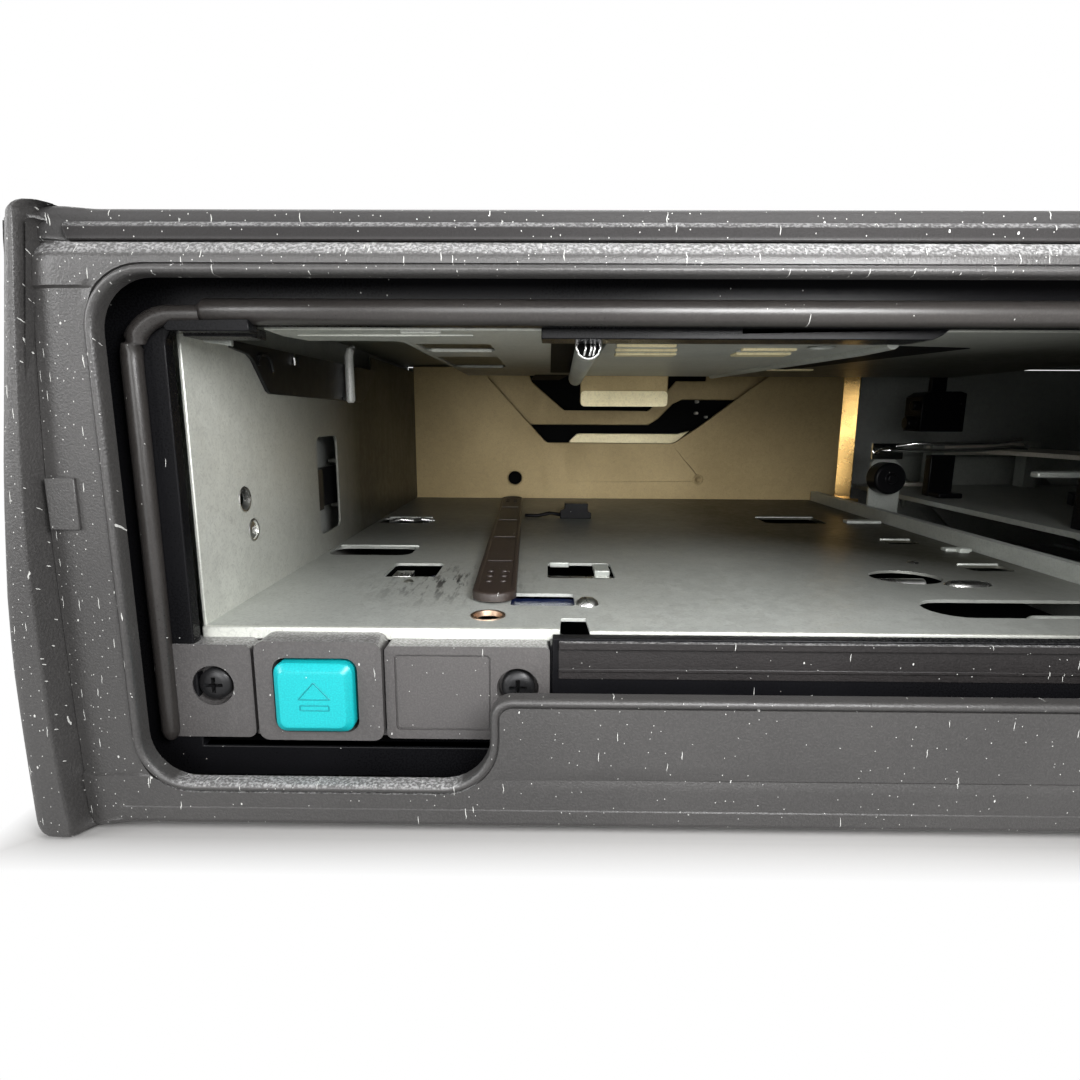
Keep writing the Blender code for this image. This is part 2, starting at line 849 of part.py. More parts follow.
def make_case(look):
    left = along(case_inset)
    front = behind(case_front)
    back = behind(case_back)
    low = above(case_low)
    top = above(case_top)
    cover = block("top_cover", (left, front, low + steel_thickness + seat_gap), (-left, back, top), look)
    hollow = block("hollow", (left + steel_thickness, front - cut_overrun, low - cut_overrun),
                   (-left - steel_thickness, back + cut_overrun, top - steel_thickness), None, "cutters")
    cover = cut(cover, hollow)
    base = block("bottom_cover", (left, front, low), (-left, back, low + steel_thickness), look)
    inner = left + steel_thickness + seat_gap
    rear = block("rear", (inner, back - steel_thickness, low + steel_thickness - seat_gap),
                 (-inner, back, top - steel_thickness - seat_gap))
    base = join(base, rear)
    for across in (left + foot_side_inset, -left - foot_side_inset):
        for depth in (foot_front, foot_back):
            foot_top = low + steel_thickness / 2
            profile = [(0, foot_top), (foot_radius, foot_top), (foot_radius, low),
                       (foot_flat_radius, above(-cap_over)), (0, above(-cap_over))]
            foot = turned("foot", profile, (across, behind(depth), 0), None)
            base = join(base, foot)
    hole = bar_round("hole", (along(socket_place), back - steel_thickness - cut_overrun, above(socket_height)), "y",
                     cut_overrun * 2 + steel_thickness, socket_radius + seat_gap, None, "cutters")
    base = cut(base, hole)
    for side, wall in ((-1, left), (1, -left)):
        for depth in case_screw_depths:
            height = above(case_screw_height)
            start = (wall - cut_overrun, behind(depth), height)
            bore = bar_round("bore", start, "x", cut_overrun * 2, case_screw_shank + seat_gap, None, "cutters", 12)
            inner = wall - side * (case_screw_tall + case_screw_sunk)
            wide = case_screw_radius + seat_gap
            narrow = case_screw_shank + seat_gap
            sink = bar_round("sink", (min(wall, inner), behind(depth), height), "x", abs(wall - inner),
                             wide if side < 0 else narrow, None, "cutters", 16, narrow if side < 0 else wide)
            cover = cut(cover, bore, sink)
    return cover, base


def make_case_screw(name, side, depth, look):
    wall = along(case_inset) if side < 0 else along(case_right)
    outer = wall - side * case_screw_sunk
    inner = outer - side * case_screw_tall
    place = behind(depth)
    height = above(case_screw_height)
    wide = case_screw_radius if side < 0 else case_screw_shank
    narrow = case_screw_shank if side < 0 else case_screw_radius
    head = bar_round(name, (min(outer, inner), place, height), "x", case_screw_tall, wide, look, steps=16,
                     end_radius=narrow)
    reach = wall - side * (steel_thickness * 2 + seat_gap * 2)
    near = inner + side * seat_gap
    shank = bar_round("shank", (min(reach, near), place, height), "x", abs(reach - near), case_screw_shank - seat_gap / 2,
                      steps=12)
    return join(head, shank)


def make_pan(look):
    left = along(case_inset + steel_thickness + pan_side_gap)
    holes = [ring(place, damper_neck_radius + seat_gap, 16) for place in damper_places()]
    outline = box_loop(left, behind(pan_front), -left, behind(pan_back))
    pan = flat_shape("chassis_pan", "flat", [outline] + holes, above(pan_low), above(pan_top), look)
    tall = board_low - seat_gap - pan_top
    for across in (board_left + standoff_inset, board_right - standoff_inset):
        for depth in (board_front + standoff_inset, board_back - standoff_inset):
            start = (along(across), behind(depth), above(pan_top) - seat_gap)
            pan = join(pan, bar_round("standoff", start, "z", tall + seat_gap, standoff_radius, steps=12))
    posts = [(lever_pivot, lever_post_radius, lever_low + lever_thickness + lever_spring_tall),
             ((gear_place, rack_gear_depth()), gear_post_radius, rack_low + rack_tall + gear_module)]
    for place, radius, height in posts:
        start = (along(place[0]), behind(place[1]), above(pan_top) - seat_gap)
        pan = join(pan, bar_round("post", start, "z", height - pan_top + seat_gap, radius, steps=16))
    return pan


def damper_places():
    places = []
    for across in (damper_side_inset, front_width - damper_side_inset):
        for depth in (damper_front, damper_back):
            places.append((along(across), behind(depth)))
    return places


def make_damper(name, place, look):
    base = above(case_low + steel_thickness) + seat_gap
    under = above(pan_low) - seat_gap
    over = above(pan_top) + seat_gap
    profile = [(0, over + damper_tall), (damper_neck_radius, over + damper_tall),
               (damper_radius, over), (damper_neck_radius, over), (damper_neck_radius, under),
               (damper_radius, under), (damper_radius, base), (0, base)]
    return turned(name, profile, (place[0], place[1], 0), look)


def make_bay(look):
    floor = make_floor(look)
    wall = make_bay_wall(look)
    rear = make_rear_wall(look)
    roof = make_roof(look)
    return floor, wall, rear, roof


def make_floor(look):
    left = along(bay_left)
    right = along(bay_right)
    outline = [
        (left, behind(bay_floor_front)), (along(bay_notch_left), behind(bay_floor_front)),
        (along(bay_notch_left), behind(bay_notch_back)), (along(bay_notch_right), behind(bay_notch_back)),
        (along(bay_notch_right), behind(bay_floor_front_right)), (right, behind(bay_floor_front_right)),
        (right, behind(bay_back) - seat_gap), (left, behind(bay_back) - seat_gap),
    ]
    loops = [outline]
    for hole_left, front, hole_right, back in floor_holes.values():
        loops.append(box_loop(along(hole_left), behind(front), along(hole_right), behind(back)))
    loops.append(ring((along(floor_round_place[0]), behind(floor_round_place[1])), floor_round_radius, 16))
    loops.append(ring((along(floor_round_right_place[0]), behind(floor_round_right_place[1])),
                      floor_round_right_radius, 20))
    oval = arc((along(floor_oval_left) + floor_oval_radius, behind(floor_oval_depth)), floor_oval_radius, 90, 270)
    oval += arc((along(floor_oval_right) - floor_oval_radius, behind(floor_oval_depth)), floor_oval_radius, 270, 450)
    loops.append(oval)
    floor = flat_shape("bay_floor", "flat", loops, above(floor_low), above(bay_floor_top), look)
    lip = block("lip", (left, behind(bay_floor_front), above(floor_low) - steel_thickness),
                (along(bay_notch_left), behind(bay_floor_front) + steel_thickness, above(floor_low) + seat_gap))
    return join(floor, lip)


def make_bay_wall(look):
    inner = along(bay_left) - seat_gap
    outer = inner - steel_thickness
    front = behind(wall_front)
    back = behind(bay_back) + steel_thickness
    outline = box_loop(front, above(pan_top) + seat_gap, back, above(bay_top) - seat_gap)
    slot = box_loop(behind(slot_front), above(slot_low), behind(slot_back), above(slot_top))
    wall = flat_shape("bay_left_wall", "side", [outline, slot], outer, inner, look)
    pivot = behind(latch_pivot)
    ear_edge = along(latch_offset) - latch_ear_deep / 2
    for low in (latch_low - seat_gap - latch_ear_thickness, latch_low + latch_tall + seat_gap):
        ear = block("ear", (ear_edge, pivot - latch_ear_deep / 2, above(low)),
                    (outer + seat_gap, pivot + latch_ear_deep / 2, above(low) + latch_ear_thickness))
        bore = bar_round("bore", (along(latch_offset), pivot, above(low) - cut_overrun / 2), "z", cut_overrun,
                         latch_pin_radius + seat_gap, None, "cutters", 16)
        wall = join(wall, cut(ear, bore))
    return wall


def make_rear_wall(look):
    left = along(bay_left)
    right = along(rear_wall_right)
    front = behind(bay_back)
    low = above(pan_top) + seat_gap
    top = above(bay_top) - seat_gap
    wall = flat_shape("bay_rear_wall", "front", [box_loop(left, low, right, top)], front, front + steel_thickness,
                      look)
    post = block("post", (right - rear_post_wide, front - rear_post_deep, above(bay_floor_top)),
                 (right, front + seat_gap, top))
    return join(wall, post)


def make_roof(look):
    left = along(case_inset + steel_thickness) + seat_gap
    right = along(rear_wall_right)
    front = behind(top_front)
    back = behind(bay_back) + steel_thickness
    low = above(bay_top)
    slope = along(top_left) - left
    outline = [(left, front + slope), (left + slope, front), (right, front), (right, back), (left, back)]
    return flat_shape("bay_top_plate", "flat", [outline], low, low + steel_thickness, look)


def make_bay_fittings(dark, brown, bright, black, dull):
    low = above(bay_floor_top) + seat_gap
    front = Vector((along(strip_front[0]), behind(strip_front[1])))
    back = Vector((along(strip_back[0]), behind(strip_back[1])))
    half = strip_wide / 2
    heading = math.degrees(math.atan2(back.y - front.y, back.x - front.x))
    loop = arc(front, half, heading + 90, heading + 270, 8) + arc(back, half, heading - 90, heading + 90, 8)
    flat_shape("guide_strip", "flat", [loop], low, low + strip_tall, brown)
    bar_top = above(bay_top) - seat_gap
    bar = block("top_guide_bar", (along(guide_bar_left), behind(guide_bar_front), bar_top - guide_bar_tall),
                (along(guide_bar_right), behind(guide_bar_front + guide_bar_deep), bar_top), dark)
    soften(bar, guide_bar_tall / 3)
    inner = along(bay_left)
    nose = bracket_nose_low
    outline = [(behind(bracket_front), above(nose)), (behind(bracket_front + nose - bracket_low), above(bracket_low)),
               (behind(bracket_back), above(bracket_low)), (behind(bracket_back), above(bay_top) - seat_gap),
               (behind(bracket_front), above(bay_top) - seat_gap)]
    flat_shape("lock_bracket", "side", [outline], inner, inner + bracket_thickness, black)
    start = inner + bracket_thickness + seat_gap + pin_radius
    bar_round("lock_wire", (start, behind(pin_depth), above(pin_low)), "z", bay_top - pin_low - seat_gap,
              pin_radius, bright, steps=12)
    rail_left = along(bay_right) + seat_gap
    block("bay_guide_rail", (rail_left, behind(rail_strip_front), above(rail_strip_low)),
          (rail_left + rail_strip_wide, behind(rail_strip_back), above(bay_floor_top) + rail_strip_tall), bright)
    shaft_start = rail_left - seat_gap - floor_shaft_long
    bar_round("floor_shaft", (shaft_start, behind(floor_oval_depth), above(floor_shaft_height)), "x",
              floor_shaft_long, floor_shaft_radius, dull, steps=16)


def make_lever(look):
    place = (along(lever_pivot[0]), behind(lever_pivot[1]))
    half = lever_arm_wide / 2
    outline = [(along(lever_left), behind(lever_front)), (place[0] + half, behind(lever_front)),
               (place[0] + half, behind(lever_back)), (place[0] - half, behind(lever_back)),
               (place[0] - half, behind(lever_front) + lever_arm_wide),
               (along(lever_left), behind(lever_front) + lever_arm_wide)]
    low = above(lever_low)
    lever = flat_shape("eject_lever", "flat", [outline], low, low + lever_thickness, look)
    hub = bar_round("hub", (place[0], place[1], low), "z", lever_thickness, lever_hub_radius)
    lever = join(lever, hub)
    bore = bar_round("bore", (place[0], place[1], low - cut_overrun), "z", cut_overrun * 2 + lever_thickness,
                     lever_post_radius + seat_gap, None, "cutters")
    return cut(lever, bore)


def make_lever_spring(look):
    place = (along(lever_pivot[0]), behind(lever_pivot[1]))
    low = above(lever_low) + lever_thickness + seat_gap + lever_spring_wire
    steps = 12
    points = []
    rise = lever_spring_tall - (seat_gap + lever_spring_wire) * 2
    for index in range(lever_spring_turns * steps + 1):
        angle = 2 * math.pi * index / steps
        height = low + rise * index / (lever_spring_turns * steps)
        points.append((place[0] + lever_spring_radius * math.cos(angle),
                       place[1] + lever_spring_radius * math.sin(angle), height))
    return wire("lever_spring", points, lever_spring_wire, look, sides=1)


def make_latch(look):
    across = along(latch_offset)
    pivot = behind(latch_pivot)
    tip = pivot - latch_long
    low = above(latch_low)
    inner = across + latch_thickness / 2
    outline = [(across - latch_thickness / 2, tip), (inner + latch_nose, tip),
               (inner + latch_nose, tip + latch_nose_wide / 2), (inner, tip + latch_nose_wide), (inner, pivot),
               (across - latch_thickness / 2, pivot)]
    latch = flat_shape("magazine_latch", "flat", [outline], low, low + latch_tall, look)
    pin = bar_round("pin", (across, pivot, low - latch_pin_radius), "z", latch_tall + latch_pin_radius * 2,
                    latch_pin_radius, steps=16)
    return join(latch, pin)


def make_board(green, black):
    low = above(board_low)
    board = block("main_board", (along(board_left), behind(board_front), low),
                  (along(board_right), behind(board_back), low + board_thickness), green)
    span = (board_right - board_left) / 4
    for index in range(3):
        across = along(board_left + span * (index + 1))
        depth = behind((board_front + board_back) / 2)
        chip = block("chip", (across - chip_size / 2, depth - chip_size / 2, low + board_thickness - seat_gap),
                     (across + chip_size / 2, depth + chip_size / 2, low + board_thickness + chip_tall))
        board = join(board, chip)
    return board


def make_socket(look):
    back = behind(case_back)
    height = above(socket_height)
    front = back - steel_thickness - socket_long
    body = bar_round("rear_socket", (along(socket_place), front, height), "y", back - front, socket_radius, look)
    flange = bar_round("flange", (along(socket_place), front, height), "y",
                       socket_long - seat_gap, socket_radius + socket_flange)
    body = join(body, flange)
    bore = bar_round("bore", (along(socket_place), front + socket_flange, height), "y", socket_long + cut_overrun,
                     socket_radius - socket_wall, None, "cutters")
    return cut(body, bore)


def make_deck(look):
    left = along(deck_left)
    right = along(deck_right)
    front = behind(deck_front)
    back = behind(deck_back)
    middle = along(spin_place[0])
    spin = behind(spin_place[1])
    lens_front = behind(sled_rest - sled_travel) - lens_radius * 2
    lens_back = behind(sled_rest) + lens_radius * 2
    slot = round_loop(middle - slot_half_wide, lens_front, middle + slot_half_wide, lens_back, lens_radius)
    loops = [box_loop(left, front, right, back), slot, ring((middle, spin), spindle_hole_radius)]
    for place in (post_left_place, post_right_place):
        loops.append(ring((along(place[0]), behind(place[1])), post_radius + seat_gap, 16))
    deck = flat_shape("deck_frame", "flat", loops, above(deck_low), above(deck_top), look)
    for edge, away in ((front, -1), (back, 1)):
        lows = (min(edge, edge + away * deck_thickness), max(edge, edge + away * deck_thickness))
        flange = block("flange", (along(deck_flange_left), lows[0] - seat_gap, above(deck_flange_low)),
                       (along(deck_flange_right), lows[1] + seat_gap, above(deck_top)))
        deck = join(deck, flange)
        for place in deck_pin_places:
            start = lows[0] - deck_pin_reach if away < 0 else lows[0]
            pin = bar_round("pin", (along(place), start, above(deck_pin_height)), "y",
                            deck_pin_reach + deck_thickness, deck_pin_radius, steps=16)
            deck = join(deck, pin)
    deck = add_holders(deck)
    deck = add_clamp_posts(deck)
    tray = bar_round("tray pin", (along(tray_pivot[0]), behind(tray_pivot[1]), above(deck_top) - seat_gap), "z",
                     tray_thickness * 2 + seat_gap * 2, tray_pin_radius, steps=16)
    return join(deck, tray)


def rod_places():
    middle = spin_place[0]
    return (middle - rod_spread / 2, middle + rod_spread / 2)


def add_holders(deck):
    low = above(rod_height - rod_radius * 2)
    top = above(deck_low) + seat_gap
    front = behind(deck_front)
    rear = behind(sled_rest + sled_long / 2) + holder_end_gap
    for place in (*rod_places(), screw_place):
        half = rod_radius * 2
        for start in (front, rear):
            holder = block("holder", (along(place) - half, start, low), (along(place) + half, start + holder_long, top))
            bore = bar_round("bore", (along(place), start - cut_overrun, above(rod_height)), "y",
                             cut_overrun * 2 + holder_long, rod_radius + seat_gap, None, "cutters", 16)
            holder = cut(holder, bore)
            deck = join(deck, holder)
    return deck


def add_clamp_posts(deck):
    middle = along(spin_place[0])
    height = above(clamp_height + clamp_thickness / 2)
    for side in (-1, 1):
        near = middle + side * (clamp_wide / 2 + seat_gap * 2)
        far = near + side * clamp_post_wide
        post = block("post", (min(near, far), behind(clamp_pivot) - clamp_post_deep / 2, above(deck_top) - seat_gap),
                     (max(near, far), behind(clamp_pivot) + clamp_post_deep / 2, height + clamp_post_deep / 2))
        bore = bar_round("bore", (min(near, far) - cut_overrun, behind(clamp_pivot), height), "x",
                         cut_overrun * 2 + clamp_post_wide, clamp_pin_radius + seat_gap, None, "cutters", 16)
        post = cut(post, bore)
        deck = join(deck, post)
    return deck


def make_deck_parts(steel, black, bright, glass, pale):
    middle = along(spin_place[0])
    spin = behind(spin_place[1])
    bar_round("spindle_motor", (middle, spin, above(motor_low)), "z", deck_low - seat_gap - motor_low, motor_radius,
              steel, steps=32)
    seat = above(deck_top) + seat_gap * 3
    top = seat + turntable_tall
    profile = [(0, top + hub_tall), (hub_radius * hub_top_share, top + hub_tall), (hub_radius, top),
               (turntable_radius, top), (turntable_radius, seat), (spindle_radius, seat),
               (spindle_radius, above(deck_low)), (0, above(deck_low))]
    turned("turntable", profile, (middle, spin, 0), black)
    make_sled(black)
    lens_low = above(sled_low + sled_tall) + seat_gap
    bar_round("pickup_lens", (middle, behind(sled_rest), lens_low), "z", lens_tall, lens_radius, glass)
    rod_end = behind(sled_rest + sled_long / 2) + holder_end_gap + holder_long
    start = behind(deck_front) + seat_gap
    for name, place in zip(("guide_rod_left", "guide_rod_right"), rod_places()):
        bar_round(name, (along(place), start, above(rod_height)), "y", rod_end - start, rod_radius, bright, steps=16)
    bar_round("feed_screw", (along(screw_place), start, above(rod_height)), "y", rod_end - start, screw_radius,
              bright, steps=16)
    bar_round("feed_motor", (along(screw_place), rod_end + seat_gap, above(rod_height)), "y", feed_motor_long,
              feed_motor_radius, steel)
    make_clamp(black, pale)
    make_tray_lever(pale)
    tall = case_top - steel_thickness - seat_gap * 2 - pan_top
    for name, place in (("lift_post_left", post_left_place), ("lift_post_right", post_right_place)):
        bar_round(name, (along(place[0]), behind(place[1]), above(pan_top) + seat_gap), "z", tall, post_radius,
                  bright, steps=16)


def make_sled(look):
    middle = along(spin_place[0])
    half = sled_wide / 2
    front = behind(sled_rest - sled_long / 2)
    back = behind(sled_rest + sled_long / 2)
    low = above(sled_low)
    top = above(sled_low + sled_tall)
    sled = block("pickup_sled", (middle - half, front, low), (middle + half, back, top), look)
    nut_left = middle + half - seat_gap
    nut = block("nut", (nut_left, behind(sled_rest) - nut_long / 2, low),
                (along(screw_place) + nut_wide / 2, behind(sled_rest) + nut_long / 2, top))
    sled = join(sled, nut)
    for place in rod_places():
        bore = bar_round("bore", (along(place), front - cut_overrun, above(rod_height)), "y",
                         sled_long + cut_overrun * 2, rod_radius + seat_gap, None, "cutters", 16)
        sled = cut(sled, bore)
    bore = bar_round("bore", (along(screw_place), front - cut_overrun, above(rod_height)), "y",
                     sled_long + cut_overrun * 2, screw_radius + seat_gap, None, "cutters", 16)
    return cut(sled, bore)


def make_clamp(black, pale):
    middle = along(spin_place[0])
    low = above(clamp_height)
    top = low + clamp_thickness
    half = clamp_wide / 2
    spin = behind(spin_place[1])
    outline = [(middle - half, behind(clamp_pivot)), (middle - half / 2, behind(clamp_front)),
               (middle + half / 2, behind(clamp_front)), (middle + half, behind(clamp_pivot))]
    hole = ring((middle, spin), clamp_neck_radius + seat_gap * 2)
    arm = flat_shape("clamp_arm", "flat", [outline, hole], low, top, pale)
    height = low + clamp_thickness / 2
    barrel = bar_round("barrel", (middle - half, behind(clamp_pivot), height), "x", clamp_wide, clamp_barrel_radius)
    reach = half + seat_gap * 2 + clamp_post_wide
    pin = bar_round("pin", (middle - reach, behind(clamp_pivot), height), "x", reach * 2, clamp_pin_radius, steps=16)
    arm = join(arm, barrel, pin)
    plate_low = above(clamp_disc_low)
    plate_top = plate_low + clamp_disc_tall
    head_low = top + seat_gap
    profile = [(0, head_low + clamp_head_tall), (clamp_head_radius, head_low + clamp_head_tall),
               (clamp_head_radius, head_low), (clamp_neck_radius, head_low), (clamp_neck_radius, plate_top),
               (clamp_disc_radius, plate_top), (clamp_disc_radius, plate_low), (0, plate_low)]
    turned("clamp_disc", profile, (middle, spin, 0), black)
    return arm


def make_tray_lever(look):
    place = (along(tray_pivot[0]), behind(tray_pivot[1]))
    half = tray_wide / 2
    low = above(deck_top) + seat_gap
    loop = arc(place, half, 90, 270, 8) + [(place[0] + tray_reach, place[1] - half),
                                           (place[0] + tray_reach, place[1] + half)]
    hole = ring(place, tray_pin_radius + seat_gap, 16)
    return flat_shape("tray_lever", "flat", [loop, hole], low, low + tray_thickness, look)


def rack_gear_depth():
    return rack_back + tooth_height + gear_radius


def make_lift(steel, bright, pale, dark):
    half = cam_slot_radius
    for name, depth in (("lift_cam_front", cam_front), ("lift_cam_rear", cam_back)):
        loops = [box_loop(along(cam_left), above(cam_low), along(cam_right), above(cam_top))]
        for place in deck_pin_places:
            upper = (along(place) - deck_lift, above(deck_pin_height) + deck_lift)
            lower = (along(place) + deck_lift, above(deck_pin_height) - deck_lift)
            loops.append(arc(upper, half, 45, 225) + arc(lower, half, 225, 405))
        plate = flat_shape(name, "front", loops, behind(depth), behind(depth) + cam_thickness, steel)
        if depth == cam_front:
            join(plate, make_rack(bright))
    bar_front = behind(cam_front) + cam_thickness + seat_gap
    block("lift_cross_bar", (along(bar_left), bar_front, above(cam_low)),
          (along(bar_left + bar_wide), behind(cam_back) - seat_gap, above(cam_low + bar_tall)), steel)
    gear = [(along(gear_place) + across, behind(rack_gear_depth()) + up) for across, up in gear_points()]
    hole = ring((along(gear_place), behind(rack_gear_depth())), gear_bore_radius, 16)
    flat_shape("lift_gear", "flat", [gear, hole], above(rack_low), above(rack_low + rack_tall), pale)
    make_worm(bright, dark)


def make_rack(look):
    pitch = math.pi * gear_module
    tip = pitch * tooth_half_tip_share
    root = pitch * tooth_half_root_share
    crest = behind(rack_back + tooth_height * 2)
    valley = behind(rack_back)
    front = behind(cam_front)
    points = [(along(cam_left) + seat_gap, front), (along(cam_left) + seat_gap, valley)]
    for index in range(rack_teeth, -rack_teeth - 1, -1):
        middle = along(gear_place) + pitch * index / 2
        if index % 2 == 0:
            points += [(middle + root, valley), (middle + tip, crest), (middle - tip, crest), (middle - root, valley)]
    points += [(along(rack_left), valley), (along(rack_left), front)]
    return flat_shape("rack", "flat", [points], above(rack_low), above(rack_low + rack_tall), look)


def gear_points():
    pitch = 2 * math.pi / gear_teeth
    crest = gear_radius + tooth_height - tooth_clear / 2
    valley = gear_radius - tooth_height - tooth_clear
    points = []
    for index in range(gear_teeth):
        middle = -math.pi / 2 + pitch * (index + 0.5)
        for radius, share in ((valley, -tooth_half_root_share), (crest, -tooth_half_tip_share),
                              (crest, tooth_half_tip_share), (valley, tooth_half_root_share)):
            angle = middle + pitch * share
            points.append((radius * math.cos(angle), radius * math.sin(angle)))
    return points


def make_worm(bright, steel):
    depth = behind(rack_gear_depth() + gear_radius + tooth_height + seat_gap + worm_radius)
    height = above(rack_low + rack_tall / 2)
    start = along(gear_place) - worm_long / 2
    step = worm_long / (worm_rings * 2)
    profile = [(0, worm_long)]
    for index in range(worm_rings * 2):
        radius = worm_radius if index % 2 == 0 else worm_core_radius
        top = worm_long - step * index
        profile += [(radius, top), (radius, top - step)]
    profile.append((0, 0))
    worm = turned("lift_worm", profile, (0, 0, 0), bright)
    worm.matrix_world = Matrix.Translation((start, depth, height)) @ Matrix.Rotation(math.pi / 2, 4, "Y")
    bar_round("lift_motor", (start - shaft_gap - lift_motor_long, depth, height), "x", lift_motor_long,
              lift_motor_radius, steel)


def build():
    clear_scene()
    make_collection("disc_changer")
    make_collection("cutters")
    charcoal = paint("front plastic", (0.045, 0.045, 0.048), 0.55, 0)
    black = paint("black plastic", (0.012, 0.012, 0.013), 0.4, 0)
    teal = paint("button plastic", (0.008, 0.56, 0.60), 0.35, 0)
    zinc = paint("zinc steel", (0.52, 0.54, 0.53), 0.4, 1)
    dark_steel = paint("dark steel", (0.08, 0.08, 0.085), 0.5, 1)
    bright = paint("bright steel", (0.72, 0.72, 0.7), 0.25, 1)
    brown = paint("brown plastic", (0.035, 0.022, 0.018), 0.45, 0)
    pale = paint("pale plastic", (0.75, 0.72, 0.64), 0.5, 0)
    rubber = paint("rubber", (0.05, 0.05, 0.05), 0.8, 0)
    glass = paint("lens glass", (0.1, 0.16, 0.3), 0.1, 0)
    green = paint("board", (0.03, 0.16, 0.06), 0.5, 0)
    make_front(charcoal)
    make_door(charcoal)
    make_frame(black)
    make_panel(black)
    make_panel_screw("panel_screw_left", screw_left_place, dark_steel)
    make_panel_screw("panel_screw_right", screw_right_place, dark_steel)
    make_button(teal)
    make_case(zinc)
    for side, side_name in ((-1, "left"), (1, "right")):
        for depth, depth_name in zip(case_screw_depths, ("front", "rear")):
            make_case_screw("case_screw_" + side_name + "_" + depth_name, side, depth, bright)
    make_pan(zinc)
    names = ("damper_left_front", "damper_left_rear", "damper_right_front", "damper_right_rear")
    for name, place in zip(names, damper_places()):
        make_damper(name, place, rubber)
    make_bay(zinc)
    make_bay_fittings(black, brown, bright, dark_steel, zinc)
    make_lever(dark_steel)
    make_lever_spring(bright)
    make_latch(dark_steel)
    make_board(green, black)
    make_socket(black)
    make_deck(zinc)
    make_deck_parts(bright, black, bright, glass, pale)
    make_lift(zinc, bright, pale, dark_steel)
    bpy.context.view_layer.update()


build()
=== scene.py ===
# Car disc changer with its door pushed aside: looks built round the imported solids.
# Shapes are given in millimetres as (along, behind, height): along from the left end of
# the front, behind the face of its bar, and height above the table.
import json
import math

import bmesh
import bpy
from mathutils import Matrix, Vector

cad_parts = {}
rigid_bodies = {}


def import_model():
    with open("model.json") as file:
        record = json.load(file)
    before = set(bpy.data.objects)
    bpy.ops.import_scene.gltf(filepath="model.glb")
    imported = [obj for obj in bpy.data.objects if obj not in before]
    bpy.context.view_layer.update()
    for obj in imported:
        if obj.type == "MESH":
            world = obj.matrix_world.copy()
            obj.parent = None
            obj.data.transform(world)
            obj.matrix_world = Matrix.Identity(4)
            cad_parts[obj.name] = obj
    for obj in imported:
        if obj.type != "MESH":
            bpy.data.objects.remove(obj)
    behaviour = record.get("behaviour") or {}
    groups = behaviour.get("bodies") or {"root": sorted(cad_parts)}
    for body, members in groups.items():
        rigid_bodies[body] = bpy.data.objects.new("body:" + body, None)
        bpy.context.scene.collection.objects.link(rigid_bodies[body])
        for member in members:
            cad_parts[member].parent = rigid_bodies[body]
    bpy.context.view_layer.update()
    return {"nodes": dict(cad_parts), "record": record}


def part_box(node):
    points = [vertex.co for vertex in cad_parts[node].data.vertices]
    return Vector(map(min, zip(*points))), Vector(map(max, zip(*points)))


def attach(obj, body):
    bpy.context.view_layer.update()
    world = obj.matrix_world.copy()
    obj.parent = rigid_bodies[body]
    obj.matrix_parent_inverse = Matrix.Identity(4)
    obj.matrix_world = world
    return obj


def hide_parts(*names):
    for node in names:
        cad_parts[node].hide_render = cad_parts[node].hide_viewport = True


for thing in list(bpy.data.objects):
    bpy.data.objects.remove(thing, do_unlink=True)

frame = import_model()
nodes = frame["nodes"]
mm = 0.001
halfWide = 140.0
barPlace = 83.0


def spot(point):
    return Vector(((point[0] - halfWide) * mm, (point[1] - barPlace) * mm, point[2] * mm))


def ease(low, high, value):
    share = min(1.0, max(0.0, (value - low) / (high - low)))
    return share * share * (3 - 2 * share)


def along(table, value):
    # straight lines between the (place, value) pairs of a table
    if value <= table[0][0]:
        return table[0][1]
    for (startPlace, startValue), (endPlace, endValue) in zip(table, table[1:]):
        if value <= endPlace:
            return startValue + (endValue - startValue) * (value - startPlace) / (endPlace - startPlace)
    return table[-1][1]


# shader maths
class Sock:
    # a socket that can be used in plain arithmetic
    def __init__(self, graph, socket):
        self.graph = graph
        self.socket = socket

    def join(self, operation, first, second):
        return self.graph.node("ShaderNodeMath", {0: first, 1: second}, operation=operation)

    def __add__(self, other):
        return self.join("ADD", self, other)

    def __radd__(self, other):
        return self.join("ADD", other, self)

    def __sub__(self, other):
        return self.join("SUBTRACT", self, other)

    def __rsub__(self, other):
        return self.join("SUBTRACT", other, self)

    def __mul__(self, other):
        return self.join("MULTIPLY", self, other)

    def __rmul__(self, other):
        return self.join("MULTIPLY", other, self)

    def __lt__(self, other):
        return self.join("LESS_THAN", self, other)

    def __gt__(self, other):
        return self.join("GREATER_THAN", self, other)

    def held(self):
        return self.graph.node("ShaderNodeClamp", {"Value": self})

    def rise(self, start, rate):
        # 0 before a value, then up to 1
        return ((self - start) * rate).held()

    def fall(self, end, rate):
        return ((end - self) * rate).held()


class Graph:
    # a tree of nodes, all made by one method: settings come first, then sockets
    def __init__(self, tree):
        self.tree = tree

    def node(self, kind, inputs=None, output=0, **settings):
        made = self.tree.nodes.new(kind)
        for name, value in settings.items():
            setattr(made, name, value)
        for name, value in (inputs or {}).items():
            self.feed(made.inputs[name], value)
        return Sock(self, made.outputs[output])

    def feed(self, socket, value):
        if isinstance(value, Sock):
            self.tree.links.new(value.socket, socket)
        elif isinstance(value, tuple) and socket.type == "RGBA":
            socket.default_value = (*value, 1)
        else:
            socket.default_value = value

    def most(self, first, second):
        return self.node("ShaderNodeMath", {0: first, 1: second}, operation="MAXIMUM")

    def part(self, vector, index):
        return self.node("ShaderNodeSeparateXYZ", {0: vector}, index)


